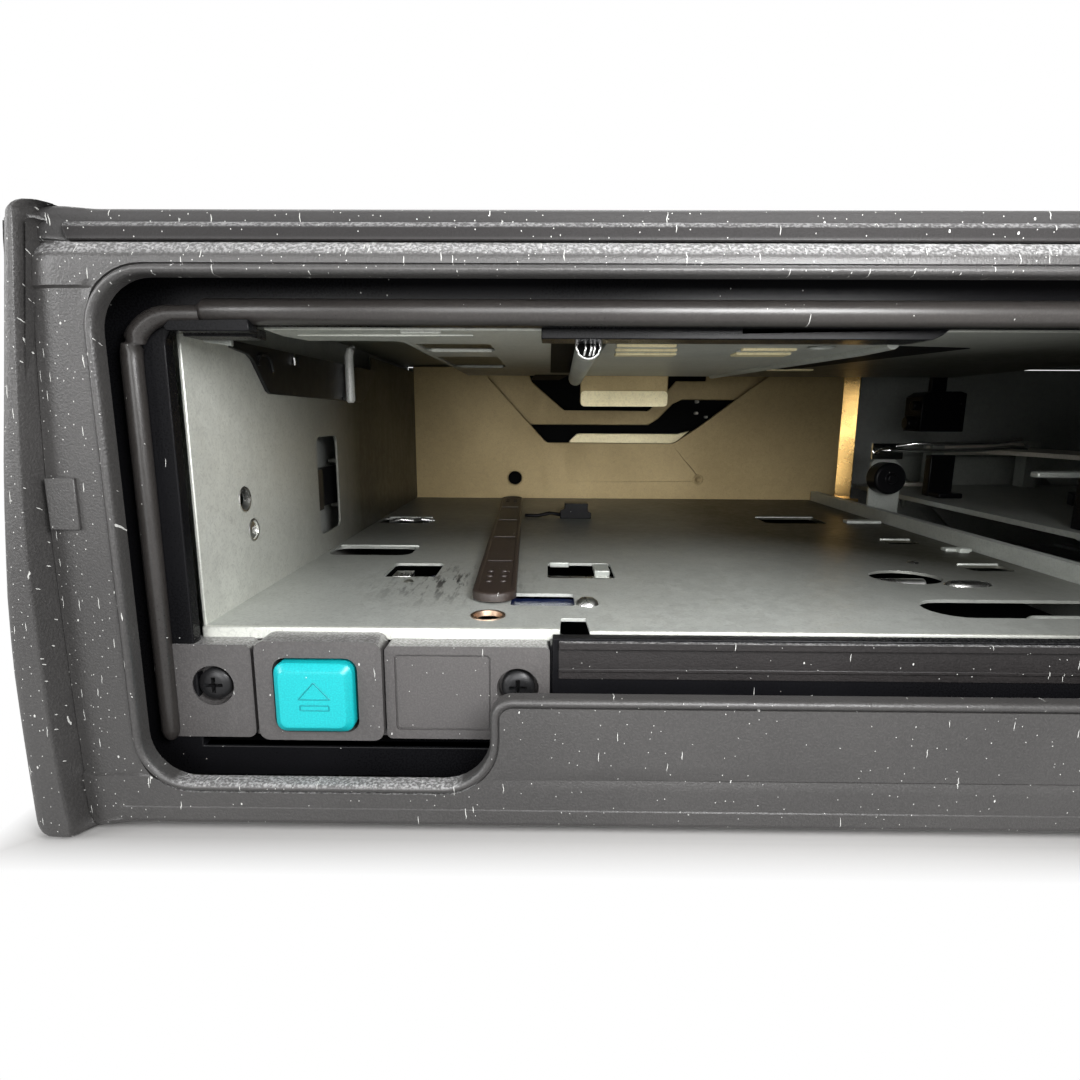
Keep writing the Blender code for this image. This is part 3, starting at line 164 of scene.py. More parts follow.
class Look(Graph):
    # one material and the few nodes that its finishes need
    def __init__(self, name, roughness=0.5, metallic=0.0, coat=0.0):
        self.material = bpy.data.materials.new(name)
        self.material.use_nodes = True
        super().__init__(self.material.node_tree)
        self.shader = self.tree.nodes["Principled BSDF"]
        self.paint("Roughness", roughness)
        self.paint("Metallic", metallic)
        self.paint("Coat Weight", coat)
        self.place = self.node("ShaderNodeTexCoord", output="Object")

    def paint(self, name, value):
        self.feed(self.shader.inputs[name], value)

    def moved(self, scale, turn=(0, 0, 0), place=None):
        return self.node("ShaderNodeMapping", {"Vector": place or self.place, "Scale": scale,
                                               "Rotation": tuple(math.radians(angle) for angle in turn)})

    def noise(self, scale, detail=2.0, place=None, roughness=0.5, distortion=0.0, output=0):
        return self.node("ShaderNodeTexNoise", {"Vector": place or self.place, "Scale": scale,
                                                "Detail": detail,
                                                "Roughness": roughness, "Distortion": distortion}, output)

    def mix(self, share, first, second):
        return self.node("ShaderNodeMix", {0: share, 6: first, 7: second}, 2, data_type="RGBA")

    def bump(self, height, distance):
        self.paint("Normal", self.node("ShaderNodeBump",
                                       {"Height": height, "Distance": distance, "Strength": 1.0}))

    def threads(self, cell, wide, long, kept, lean, wander):
        # short bent threads on the faces that look forward, few of the cells filled
        shift = self.node("ShaderNodeVectorMath", {0: self.noise(900.0, output="Color"),
                                                   "Scale": wander * mm},
                          operation="SCALE")
        bent = self.node("ShaderNodeVectorMath", {0: self.place, 1: shift}, operation="ADD")
        across, deep, up = (self.part(bent, index) for index in range(3))
        level = self.node("ShaderNodeCombineXYZ", {0: across, 1: up + deep * 0.5})
        cells = {"Vector": self.moved((1, wide / long, 1), (0, 0, lean), level), "Scale": 1000.0 / cell}
        distance, shade = (self.node("ShaderNodeTexVoronoi", cells, output, voronoi_dimensions="2D")
                           for output in ("Distance", "Color"))
        chance = self.node("ShaderNodeSeparateColor", {0: shade}, 0)
        near = across.fall(-0.117, 60) * 1.2 + up.rise(0.062, 300) * 0.9
        return (distance < wide / cell) * (chance > 1.0 - (near + 0.5) * kept)


# each kind of thread: cell, width, length, share kept, lean and wander
threadKinds = ((1.5, 0.045, 0.55, 0.44, 38, 0.3), (1.9, 0.045, 0.70, 0.38, -32, 0.5),
               (1.7, 0.042, 0.50, 0.26, 80, 0.4), (1.0, 0.055, 0.075, 0.36, 10, 0.3),
               (3.4, 0.10, 0.16, 0.16, 60, 0.3))
# heights in metres where dust lies, and where a highlight is painted on the ridge and the edges: start, its
# rate, end, its rate, amount
dustAndSheenBands = ((0.0662, 3000.0, 0.0683, 4000.0, 1.0), (0.0208, 3000.0, 0.0230, 3000.0, 1.0),
             (0.0045, 2000.0, 0.0072, 2000.0, 0.8), (0.0692, 3000.0, 0.0703, 4000.0, 1.0))
# crystals of the zinc, in millimetres
crystalSize = 1.3


def tinted(colour, strength):
    return tuple(part * strength for part in colour)


def plastic(name, colour, pale, grain, depth, roughness, lint=0.0, coat=0.0, shine=0.5):
    look = Look(name, coat=coat)
    look.paint("Specular IOR Level", shine)
    broad = look.noise(45.0, 3.0)
    fine = look.noise(1000.0 / grain, roughness=0.6)
    tone = look.mix((broad - 0.35) * 1.6, colour, pale)
    tone = look.mix((fine - 0.4) * 0.9, tone, tinted(pale, 1.7))
    rough = roughness + (broad - 0.5) * 0.16 + (fine - 0.5) * 0.16
    height = fine
    if lint:
        upward = look.part(look.node("ShaderNodeTexCoord", output="Normal"), 2)
        flecks = look.noise(3200.0).rise(0.42, 5.0)
        high = look.part(look.place, 2)
        behind = look.part(look.place, 1).rise(-0.0818, 3000.0)
        ridge = sum(high.rise(start, climb) * high.fall(end, drop) * amount
                    for start, climb, end, drop, amount in dustAndSheenBands).held()
        # dust on faces that look up, also a painted highlight there, lightening the ridge, the top edges and
        # the lower bead
        dustAndSheen = upward.rise(0.30, 1.6) * (flecks * 0.6 + 0.12) * ridge * lint
        # painted shade: upright faces above the ridge, set back from the bar's face, are darkened, and the
        # rounded top behind them too
        sunk = high.rise(0.0681, 3000.0) * upward.fall(0.95, 2.0) * behind
        tone = look.mix(sunk * 0.95, tone, (0.012, 0.011, 0.011))
        tone = look.mix(high.rise(0.0704, 3000.0) * behind * 0.6, tone, (0.016, 0.015, 0.015))
        tone = look.mix(dustAndSheen, tone, (0.52, 0.52, 0.52))
        threads = sum(look.threads(cell, wide, long, kept * lint, lean, wander)
                      for cell, wide, long, kept, lean, wander in threadKinds).held()
        tone = look.mix(threads * 0.80, tone, (0.55, 0.55, 0.53))
        rough = rough + threads * 0.3 + sunk * 0.35
        height = height + threads * 1.5
    look.paint("Base Color", tone)
    look.paint("Roughness", rough)
    look.bump(height, depth * mm)
    return look


def plated(name, colour, stain, roughness=0.42, metallic=0.5, scuffed=False, shaded=0.0):
    # zinc plated sheet: faint crystals, cloudy stains and fine rolling lines
    look = Look(name, metallic=metallic)
    crystals = look.node("ShaderNodeTexVoronoi", {"Vector": look.place, "Scale": 1000.0 / crystalSize},
                         "Color")
    crystal = look.node("ShaderNodeSeparateColor", {0: crystals}, 1)
    cloud = look.noise(28.0, 5.0, roughness=0.62)
    worm = look.noise(1100.0, distortion=2.2)
    lines = look.noise(500.0, place=look.moved((1, 1, 0.2)))
    pits = look.noise(2600.0) > 0.70
    tone = look.mix((cloud - 0.38) * 2.2, colour, stain)
    tone = look.mix(crystal * 0.20, tone, tuple(min(1.0, part) for part in tinted(colour, 1.35)))
    tone = look.mix((worm - 0.46) * 1.6, tone, tinted(colour, 0.62))
    tone = look.mix(pits * 0.25, tone, (0.10, 0.10, 0.09))
    if scuffed:
        streaks = look.noise(700.0, 3.0, look.moved((1, 0.16, 1), (0, 0, 12)), 0.7)
        far = look.node("ShaderNodeVectorMath", {0: look.place, 1: spot((45.5, 34.0, 23.1))}, "Value",
                        operation="DISTANCE")
        tone = look.mix((streaks.rise(0.50, 9.0) * (1.0 - far * 62.0).held()).held(), tone,
                        (0.03, 0.03, 0.035))
    # painted shade: darker towards the back and the right of the bay
    if shaded:
        deep = look.part(look.place, 1).rise(-0.066, 15.0)
        right = look.part(look.place, 0).rise(-0.048, 22.0)
        tone = look.mix((deep * 0.66 + right * 0.50).held() * shaded, tone, (0.035, 0.034, 0.024))
    look.paint("Base Color", tone)
    look.paint("Roughness", roughness + (cloud - 0.5) * 0.25 + (lines - 0.5) * 0.12 + crystal * 0.05)
    look.bump(lines * 0.4 + crystal * 0.2 + worm * 0.5, 0.02 * mm)
    return look


def turnedMetal(name, colour, roughness=0.28):
    look = Look(name, metallic=1.0)
    smear = look.noise(120.0, 3.0)
    lines = look.noise(900.0, place=look.moved((1.0, 0.12, 1.0)))
    look.paint("Base Color", look.mix(smear * 0.5, colour, tinted(colour, 0.7)))
    look.paint("Roughness", roughness + (smear - 0.5) * 0.2 + (lines - 0.5) * 0.1)
    look.bump(lines, 0.01 * mm)
    return look


looks = {
    "front_plastic": plastic("frontPlastic", (0.031, 0.0298, 0.0293), (0.046, 0.0442, 0.0432), 0.26, 0.06,
                             0.40, 1.0),
    "black_plastic": plastic("blackPlastic", (0.003, 0.003, 0.0035), (0.006, 0.006, 0.007), 0.25, 0.012, 0.30,
                             0.10, shine=0.10),
    "panel_plastic": plastic("panelPlastic", (0.056, 0.053, 0.053), (0.082, 0.077, 0.075), 0.22, 0.030, 0.36,
                             0.55),
    "button_plastic": plastic("buttonPlastic", (0.004, 0.310, 0.335), (0.006, 0.345, 0.370), 0.20, 0.008,
                              0.34, 0.03, shine=0.4),
    "zinc_steel": plated("zincSteel", (0.43, 0.45, 0.42), (0.31, 0.325, 0.30)),
    "rear_steel": plated("rearSteel", (0.40, 0.305, 0.150), (0.32, 0.238, 0.112), 0.46, 0.4),
    "bright_steel": turnedMetal("brightSteel", (0.72, 0.72, 0.70)),
    "dark_steel": plated("darkSteel", (0.016, 0.016, 0.017), (0.010, 0.010, 0.011), 0.36),
    "brown_plastic": plastic("brownPlastic", (0.018, 0.012, 0.010), (0.034, 0.024, 0.019), 0.30, 0.02, 0.46,
                             0.25),
    "pale_plastic": plastic("palePlastic", (0.66, 0.63, 0.55), (0.74, 0.71, 0.64), 0.40, 0.010, 0.46),
    "rubber": plastic("rubber", (0.020, 0.020, 0.020), (0.036, 0.035, 0.034), 0.30, 0.030, 0.72, 0.15),
    "lens_glass": plastic("lensGlass", (0.03, 0.05, 0.13), (0.05, 0.03, 0.12), 0.8, 0.002, 0.08, coat=0.6),
    "board_green": plastic("boardGreen", (0.012, 0.085, 0.035), (0.020, 0.125, 0.050), 0.5, 0.020, 0.34, 0.05,
                           0.3),
}
# lighter copies of the zinc plate for the bay's floor, wall and roof, as painted light near the front, each
# with painted shade further in; the wall's copy also serves the floor's lip and the roof's lips
floorZinc = plated("floorZinc", (0.56, 0.58, 0.55), (0.38, 0.395, 0.37), scuffed=True, shaded=1.15)
wallZinc = plated("wallZinc", (0.72, 0.735, 0.68), (0.50, 0.51, 0.47), shaded=1.5)
roofZinc = plated("roofZinc", (0.58, 0.595, 0.545), (0.38, 0.39, 0.355), shaded=1.4)
coverZinc = plated("coverZinc", (0.36, 0.375, 0.355), (0.27, 0.28, 0.265), 0.62, 0.15)
# dim copy of the zinc plate as painted shade
paintedShadeZinc = plated("paintedShadeZinc", (0.28, 0.28, 0.22), (0.18, 0.18, 0.14))
warm = plated("warmSteel", (0.80, 0.70, 0.44), (0.68, 0.58, 0.34), 0.36, 0.3)
wireSteel = plated("wireSteel", (0.93, 0.93, 0.91), (0.86, 0.86, 0.84), 0.30, 0.2)
brass = turnedMetal("brassFold", (0.54, 0.34, 0.12), 0.26)
copper = turnedMetal("copperSteel", (0.36, 0.26, 0.19), 0.40)
chrome = turnedMetal("chromeSteel", (0.80, 0.80, 0.79), 0.12)
grease = plastic("blueGrease", (0.004, 0.008, 0.040), (0.012, 0.024, 0.090), 0.9, 0.20, 0.20, coat=0.4)
symbolTeal = plastic("symbolTeal", (0.002, 0.20, 0.22), (0.003, 0.24, 0.26), 0.2, 0.005, 0.4, shine=0.3)
railBlack = plastic("railPlastic", (0.020, 0.018, 0.017), (0.034, 0.031, 0.029), 0.25, 0.010, 0.33, 0.25)
# a darker copy of the front plastic: on the top strip its darkness is painted shade; the sill face uses it
# too
stripBlack = plastic("stripPlastic", (0.010, 0.009, 0.009), (0.018, 0.016, 0.016), 0.26, 0.05, 0.42, 0.6,
                     shine=0.3)
# black as painted shadow, put in holes, gaps and recesses where only shade is
shadowBlack = plastic("paintedShadowBlack", (0.0025, 0.0025, 0.0025), (0.004, 0.004, 0.004), 0.4, 0.010, 0.6,
                      shine=0.05)

for row in frame["record"]["subparts"]:
    look = coverZinc if row["node"] in ("top_cover", "bottom_cover") else looks[row["material_slot"]]
    nodes[row["node"]].data.materials.clear()
    nodes[row["node"]].data.materials.append(look.material)
print("looks made:", len(looks))


# shape tools
def arcPoints(centre, radius, start, end, steps=6):
    turns = [math.radians(start + (end - start) * index / steps) for index in range(steps + 1)]
    return [(centre[0] + radius * math.cos(turn), centre[1] + radius * math.sin(turn)) for turn in turns]


def ringPoints(centre, radius, steps=24):
    return arcPoints(centre, radius, 0, 360 - 360 / steps, steps - 1)


def ovalPoints(across, deep, wide, long):
    return [(across + wide * math.cos(turn), deep + long * math.sin(turn))
            for turn in (math.radians(15 * step) for step in range(24))]


def roundBox(left, low, right, top, radius):
    points = arcPoints((left + radius, low + radius), radius, 180, 270, 5)
    points += arcPoints((right - radius, low + radius), radius, 270, 360, 5)
    points += arcPoints((right - radius, top - radius), radius, 0, 90, 5)
    return points + arcPoints((left + radius, top - radius), radius, 90, 180, 5)


def sharpBox(left, low, right, top):
    return [(left, low), (right, low), (right, top), (left, top)]


def upright(loop, depth):
    return [(across, depth, up) for across, up in loop]


def placed(name, data):
    made = bpy.data.objects.new(name, data)
    bpy.context.scene.collection.objects.link(made)
    return made


class Form:
    # gathers shapes in millimetres into one mesh, then makes a piece of it
    def __init__(self):
        self.mesh = bmesh.new()

    def skin(self, rows, closedColumns=False, ends=True, closedRows=True):
        made = [[self.mesh.verts.new(point) for point in row] for row in rows]
        for first, second in zip(made, made[1:] + made[:1] if closedColumns else made[1:]):
            count = len(first)
            for index in range(count if closedRows else count - 1):
                after = (index + 1) % count
                self.mesh.faces.new((first[index], first[after], second[after], second[index]))
        if ends:
            self.mesh.faces.new(list(reversed(made[0])))
            self.mesh.faces.new(made[-1])
        return self

    def box(self, low, high):
        low, high = Vector(low), Vector(high)
        for vert in bmesh.ops.create_cube(self.mesh, size=1)["verts"]:
            vert.co = Vector(low[axis] + (high[axis] - low[axis]) * (vert.co[axis] + 0.5)
                             for axis in range(3))
        return self

    def boxes(self, rows, level=0.0):
        # each row has the low corner and the high one, with heights from the level
        for left, near, low, right, far, high in rows:
            self.box((left, near, level + low), (right, far, level + high))
        return self

    def sheet(self, plane, loops, start, end):
        # flat shape with holes: "front" (along, height), "side" (behind, height), "flat" (along, behind)
        curve = bpy.data.curves.new("sheet", "CURVE")
        curve.dimensions = "2D"
        curve.fill_mode = "BOTH"
        curve.extrude = abs(end - start) / 2
        for loop in loops:
            spline = curve.splines.new("POLY")
            spline.points.add(len(loop) - 1)
            for point, (across, up) in zip(spline.points, loop):
                point.co = (across, up, 0, 1)
            spline.use_cyclic_u = True
        holder = bpy.data.objects.new("sheet", curve)
        middle = (start + end) / 2
        made = bpy.data.meshes.new_from_object(holder)
        turn = {"front": Matrix(((1, 0, 0, 0), (0, 0, -1, middle), (0, 1, 0, 0), (0, 0, 0, 1))),
                "side": Matrix(((0, 0, 1, middle), (1, 0, 0, 0), (0, 1, 0, 0), (0, 0, 0, 1))),
                "flat": Matrix.Translation((0, 0, middle))}[plane]
        made.transform(turn)
        self.mesh.from_mesh(made)
        bpy.data.objects.remove(holder)
        bpy.data.meshes.remove(made)
        return self

    def tube(self, path, radius, steps=10, closed=False, flat=1.0):
        # a round section carried along a path, kept upright where it can be
        points = [Vector(point) for point in path]
        rows = []
        for index, point in enumerate(points):
            before = points[index - 1] if index or closed else point
            after = points[(index + 1) % len(points)] if index + 1 < len(points) or closed else point
            heading = (after - before).normalized()
            guide = Vector((0, 0, 1)) if abs(heading.z) < 0.9 else Vector((0, 1, 0))
            side = heading.cross(guide).normalized()
            up = side.cross(heading)
            size = radius[index] if isinstance(radius, (list, tuple)) else radius
            rows.append([tuple(point + (side * math.cos(turn) + up * math.sin(turn) * flat) * size)
                         for turn in (2 * math.pi * step / steps for step in range(steps))])
        return self.skin(rows, closedColumns=closed, ends=not closed)

    def lathe(self, profile, centre, axis="z", steps=32):
        # profile of (radius, height) pairs turned about an axis through the centre
        order = {"x": (2, 0, 1), "y": (1, 2, 0), "z": (0, 1, 2)}[axis]
        rows = []
        for radius, height in profile:
            row = []
            for turn in (2 * math.pi * step / steps for step in range(steps)):
                flat = (radius * math.cos(turn), radius * math.sin(turn), height)
                row.append(tuple(centre[place] + flat[order[place]] for place in range(3)))
            rows.append(row)
        return self.skin(rows, ends=False)

    def rod(self, start, end, radius, steps=16, edge=0.15):
        start, end = Vector(start), Vector(end)
        heading = (end - start).normalized()
        path = [start, start + heading * edge, end - heading * edge, end]
        return self.tube(path, [radius - edge, radius, radius, radius - edge], steps)

    def piece(self, name, slot, look=None, body="case", replaces=None, edge=0.0, angle=35, turned=True):
        # the look is the slot's own unless another is given, and a cutter has no slot
        bmesh.ops.remove_doubles(self.mesh, verts=self.mesh.verts, dist=0.0005)
        bmesh.ops.dissolve_degenerate(self.mesh, edges=self.mesh.edges, dist=0.0003)
        if turned:
            bmesh.ops.recalc_face_normals(self.mesh, faces=self.mesh.faces)
        for vert in self.mesh.verts:
            vert.co = spot(vert.co)
        mesh = bpy.data.meshes.new(name)
        self.mesh.to_mesh(mesh)
        self.mesh.free()
        mesh.materials.append((look or looks[slot]).material)
        mesh.shade_smooth()
        mesh.set_sharp_from_angle(angle=math.radians(angle))
        made = placed(name, mesh)
        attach(made, body)
        if replaces:
            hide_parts(replaces)
        if edge:
            roundEdges(made, edge, angle)
        return made


def roundEdges(thing, width, angle=35):
    edge = thing.modifiers.new("roundEdge", "BEVEL")
    edge.width = width * mm
    edge.segments = 2
    edge.limit_method = "ANGLE"
    edge.angle_limit = math.radians(angle)
    edge.harden_normals = False
    edge.use_clamp_overlap = True


def carve(thing, *cutters):
    # takes the cutters out of a piece, and leaves a plain mesh
    for cutter in cutters:
        bite = thing.modifiers.new("carve", "BOOLEAN")
        bite.operation = "DIFFERENCE"
        bite.object = cutter
        bite.solver = "EXACT"
    settle(thing)
    for cutter in cutters:
        bpy.data.objects.remove(cutter, do_unlink=True)


def settle(thing, angle=35):
    bpy.context.view_layer.update()
    graph = bpy.context.evaluated_depsgraph_get()
    made = bpy.data.meshes.new_from_object(thing.evaluated_get(graph))
    thing.modifiers.clear()
    thing.data = made
    made.shade_smooth()
    made.set_sharp_from_angle(angle=math.radians(angle))


# front moulding: lines of the end cap over height, as (height, place) pairs
front = {
    "wide": 280.0,
    "outerLine": ((0.0, 0.0), (15.0, 0.0), (22.4, 0.08), (29.5, 0.6), (36.3, 1.3), (42.9, 2.0), (49.3, 2.9),
                  (56.5, 3.9), (61.5, 4.6), (67.3, 5.4), (72.0, 6.0)),
    "noseLine": ((0.0, 4.9), (3.6, 4.4), (6.8, 4.2), (10.6, 4.0), (15.6, 3.85), (22.8, 3.9), (29.8, 3.9),
                 (36.5, 3.95), (43.1, 4.25), (49.3, 4.75), (56.4, 5.3), (61.3, 5.75), (67.0, 6.4),
                 (72.0, 6.9)),
    "valleyLine": ((0.0, 5.3), (5.3, 4.95), (14.4, 4.75), (29.1, 4.7), (36.0, 4.75), (42.8, 4.95),
                   (49.3, 5.3), (56.7, 5.8), (61.7, 6.2), (67.7, 6.9), (72.0, 7.3)),
    "proudLine": ((0.0, 2.0), (30.0, 2.0), (43.0, 1.65), (56.0, 1.25), (66.0, 1.05), (72.0, 1.0)),
    "capCorner": 2.5,
    "capShoulder": 6.0,
    "capRise": 0.3,
    "top": 71.6,
    "low": 0.1,
    "recess": 0.34,
    "recessRows": (7.5, 63.0),
    "recessEnd": 13.3,
    "flare": 1.9,
    "flareRun": 4.4,
    "wall": 1.8,
    "skirt": 14.0,
    "runs": (0.5, 1.0, 1.6, 2.3, 3.2, 3.9, 4.2, 5.5, 7.5, 12.0, 24.0, 40.0, 45.6, 46.2, 47.0, 60.0, 90.0),
    "strip": ((2.76, 67.95), (1.62, 67.98), (1.50, 68.10), (1.50, 69.18), (1.56, 69.32), (1.80, 69.60),
              (2.10, 69.86), (2.40, 69.98), (2.76, 70.0)),
}
opening = {"left": 12.9, "right": 141.6, "low": 6.6, "top": 64.3, "corner": 5.8, "sill": 17.7, "wall": 54.3,
           "stepRadius": 2.6}
# section of the bead round the opening: how far out, and how deep
bead = ((0.00, 1.90), (-0.02, 0.55), (0.05, 0.20), (0.16, -0.02), (0.38, -0.20), (0.62, -0.20), (0.84, -0.06),
        (0.95, 0.14), (0.98, 0.55))
# face of the bar from its lower skirt to its upper one: height, depth, and how much of
# the end cap's shape shows in that row
faceRows = [(1.1, 14.0, 0.0), (1.1, 2.6, 0.0), (1.12, 1.2, 0.2), (1.2, 0.6, 0.5), (1.35, 0.25, 0.8),
            (1.6, 0.02, 0.95), (1.9, -0.06, 1.0)]
faceRows += [(height, -0.14, 1.0) for height in (2.0, 2.4, 2.9, 3.5)]
faceRows += [(height, 0.0, 1.0) for height in (
    3.62, 4.6, 6.0, 7.1, 7.42, 7.5, 7.7, 9.5, 13.0, 17.0, 21.0, 25.0, 30.0, 35.0, 40.0, 45.0, 50.0, 54.0,
    58.0, 61.0, 62.85, 62.93, 63.2, 64.4, 65.4)]
faceRows += [(height, depth, 1.0) for height, depth in (
    (65.9, 0.03), (66.2, 0.11), (66.5, 0.27), (66.8, 0.50), (67.1, 0.78), (67.4, 1.10), (67.65, 1.42),
    (67.82, 1.8), (67.9, 2.3), (67.93, 2.7))]
faceRows += [(height, 2.75, 1.0) for height in (68.1, 69.0, 69.4, 69.7, 70.0, 70.25)]
faceRows += [(70.5, 2.75, 0.99), (70.9, 2.8, 0.97), (71.15, 2.92, 0.93), (71.35, 3.12, 0.86),
             (71.5, 3.42, 0.74), (71.58, 3.8, 0.52), (71.6, 4.4, 0.2), (71.6, 14.0, 0.0)]


def openingLoop(grow):
    left, right = opening["left"] - grow, opening["right"] + grow
    low, sill, top = opening["low"] - grow, opening["sill"] - grow, opening["top"] + grow
    corner = opening["corner"] + grow
    wall = opening["wall"] + grow
    inner = opening["stepRadius"] - grow
    points = arcPoints((left + corner, low + corner), corner, 180, 270, 10)
    points += arcPoints((wall - corner, low + corner), corner, 270, 360, 10)
    points += arcPoints((wall + inner, sill - inner), inner, 180, 90, 8)
    points += arcPoints((right - inner, sill + inner), inner, 270, 360, 8)
    points += arcPoints((right - corner, top - corner), corner, 0, 90, 10)
    return points + arcPoints((left + corner, top - corner), corner, 90, 180, 10)


def flareShare(run):
    return 1 - ease(0.0, front["flareRun"], run)


def capSection(outer, nose, valley, proud, bar, shown, flare):
    # section of the end cap from its side, over the nose, down to the valley and up to the bar
    wide = nose - outer
    face = bar + (-proud - bar) * shown
    points = [(outer, front["skirt"]), (outer, max(face + proud * 2, 3.0)), (outer, face + proud * 1.1)]
    points += [(outer + wide * share, face + proud * sunk) for share, sunk in
               ((0.015, 0.60), (0.06, 0.34), (0.13, 0.16), (0.24, 0.05), (0.40, 0.0), (0.70, 0.0))]
    points += [(nose - 0.14, face + proud * 0.01), (nose - 0.03, face + proud * 0.06),
               (nose + 0.08, face + proud * 0.2)]
    bottom = bar - flare + 0.75 * shown
    points += [(nose + 0.08 + (valley - nose - 0.08) * share,
                face + proud * 0.2 + (bottom - face - proud * 0.2) * share) for share in (0.35, 0.7, 1.0)]
    return points + [(valley + run, bar - flare * flareShare(run) + sunk * shown) for run, sunk in
                     ((0.14, 0.60), (0.26, 0.58), (0.7, 0.44), (1.3, 0.26), (2.1, 0.10), (3.1, 0.0))]


def barDepth(height, depth, place):
    # the low ridge ends short of the cap, and the recess runs only beside it
    bar = depth
    if 1.95 < height < 3.6:
        bar = depth * ease(9.6, 10.2, place)
    elif 7.4 < height < 7.6:
        bar = 0.16 if place > 56 else 0.0
    if front["recessRows"][0] < height < front["recessRows"][1] and place < front["recessEnd"]:
        bar += front["recess"]
    return bar


def faceLine(row):
    # one row of points, from the left end to the middle
    height, depth, shown = row
    tall = height
    if height < 9.5:
        tall = 9.5 - (9.5 - height) * (9.5 - front["low"]) / (9.5 - faceRows[0][0])
    outer, nose, valley, proud = (along(front[name], tall) for name in ("outerLine", "noseLine", "valleyLine",
                                                                        "proudLine"))
    corner = front["capCorner"]
    over = max(0.0, tall - (front["top"] - corner), (front["low"] + corner) - tall)
    outer += corner - math.sqrt(max(0.0, corner * corner - min(over, corner) ** 2))
    fold = max(0.0, tall - (front["top"] - 1.6), (front["low"] + 1.8) - tall)
    valley += 0.45 * fold
    nose = max(nose - 0.25 * fold, outer + 0.5)
    valley = max(valley, nose + 0.25)
    flare = front["flare"] * ease(67.5, 68.2, height) * shown
    points = capSection(outer, nose, valley, proud, barDepth(height, depth, valley), shown, flare)
    start = valley + 3.1
    points += [(start + run, barDepth(height, depth, start + run) - flare * flareShare(3.1 + run))
               for run in front["runs"]]
    return [(place, min(sunk, front["skirt"]), height + (tall - height) * (1 - ease(4.5, 10.5, place)))
            for place, sunk in points]


def mirrored(points):
    return [(front["wide"] - across, depth, up) for across, depth, up in points]


def makeFront():
    grid = []
    for row in faceRows:
        left = faceLine(row)
        grid.append(left + mirrored(reversed(left)))
    shell = Form().skin(grid, ends=False, closedRows=False).piece(
        "frontMoulding", "front_plastic", replaces="front_bezel", angle=50, turned=False)
    thick = shell.modifiers.new("wall", "SOLIDIFY")
    thick.thickness = front["wall"] * mm
    thick.offset = -1
    settle(shell, 50)
    # no point may stand above the rounded top of the caps, or below the foot of the bar
    corner = front["capCorner"]
    for vert in shell.data.vertices:
        place = vert.co.x / mm + halfWide
        side = min(place, front["wide"] - place)
        inset = min(corner, max(0.0, front["capShoulder"] + corner - side))
        rise = front["capRise"] * (1 - ease(7.0, 10.5, side))
        most = front["top"] + rise - corner + math.sqrt(corner ** 2 - inset ** 2)
        vert.co.z = min(max(vert.co.z, front["low"] * mm), most * mm)
    hole = Form().sheet("front", [openingLoop(0.5)], -8.0, 8.0)
    seam = Form().sheet("front", [openingLoop(1.14), openingLoop(0.9)], -2.0, 0.4)
    carve(shell, hole.piece("hole", None, looks["front_plastic"]),
          seam.piece("seam", None, looks["front_plastic"]))
    edge = Form().skin([upright(openingLoop(grow), depth) for grow, depth in bead], ends=False)
    edge.piece("openingBead", "front_plastic", angle=60)
    rows = [[(9.7 + 0.55 * (70.0 - up) / 2.0 + inset, depth + inset * 0.4, up)
             for depth, up in front["strip"]]
            for inset in (0.0, 0.12)]
    rows += [mirrored(row) for row in reversed(rows)]
    # the top strip takes the darker copy of the front plastic as painted shade
    Form().skin(rows).piece("topStrip", "front_plastic", stripBlack, angle=12)
    Form().box((5.6, -0.05, 37.3), (8.9, 0.5, 43.1)).piece("endTag", "front_plastic", edge=0.12)


makeFront()
print("front moulding made")


# inner moulding behind the door, with the rail round its window
inner = {
    "face": 6.5,
    "thick": 1.8,
    "railDepth": 6.1,
    "railHeight": 61.5,
    "railRadius": 1.45,
    "railLeft": 12.95,
    "railCorner": 5.0,
    "thinHeight": 61.15,
    "thinRadius": 1.08,
    "thickStart": 21.9,
    "sill": ((62.4, -0.12, 17.6, 149.6, 0.1, 22.0), (62.4, -0.55, 21.6, 149.6, 0.2, 22.6),
             (62.4, -0.30, 18.6, 149.6, 0.2, 19.1)),
    "lug": ((17.6, 59.75), (18.2, 60.35), (27.3, 60.5), (27.3, 59.2), (17.9, 59.2)),
    "bar": ((60.0, 58.95), (104.6, 58.95), (105.8, 59.08), (106.7, 59.5), (107.5, 60.2), (107.8, 60.25),
            (60.0, 60.25)),
}


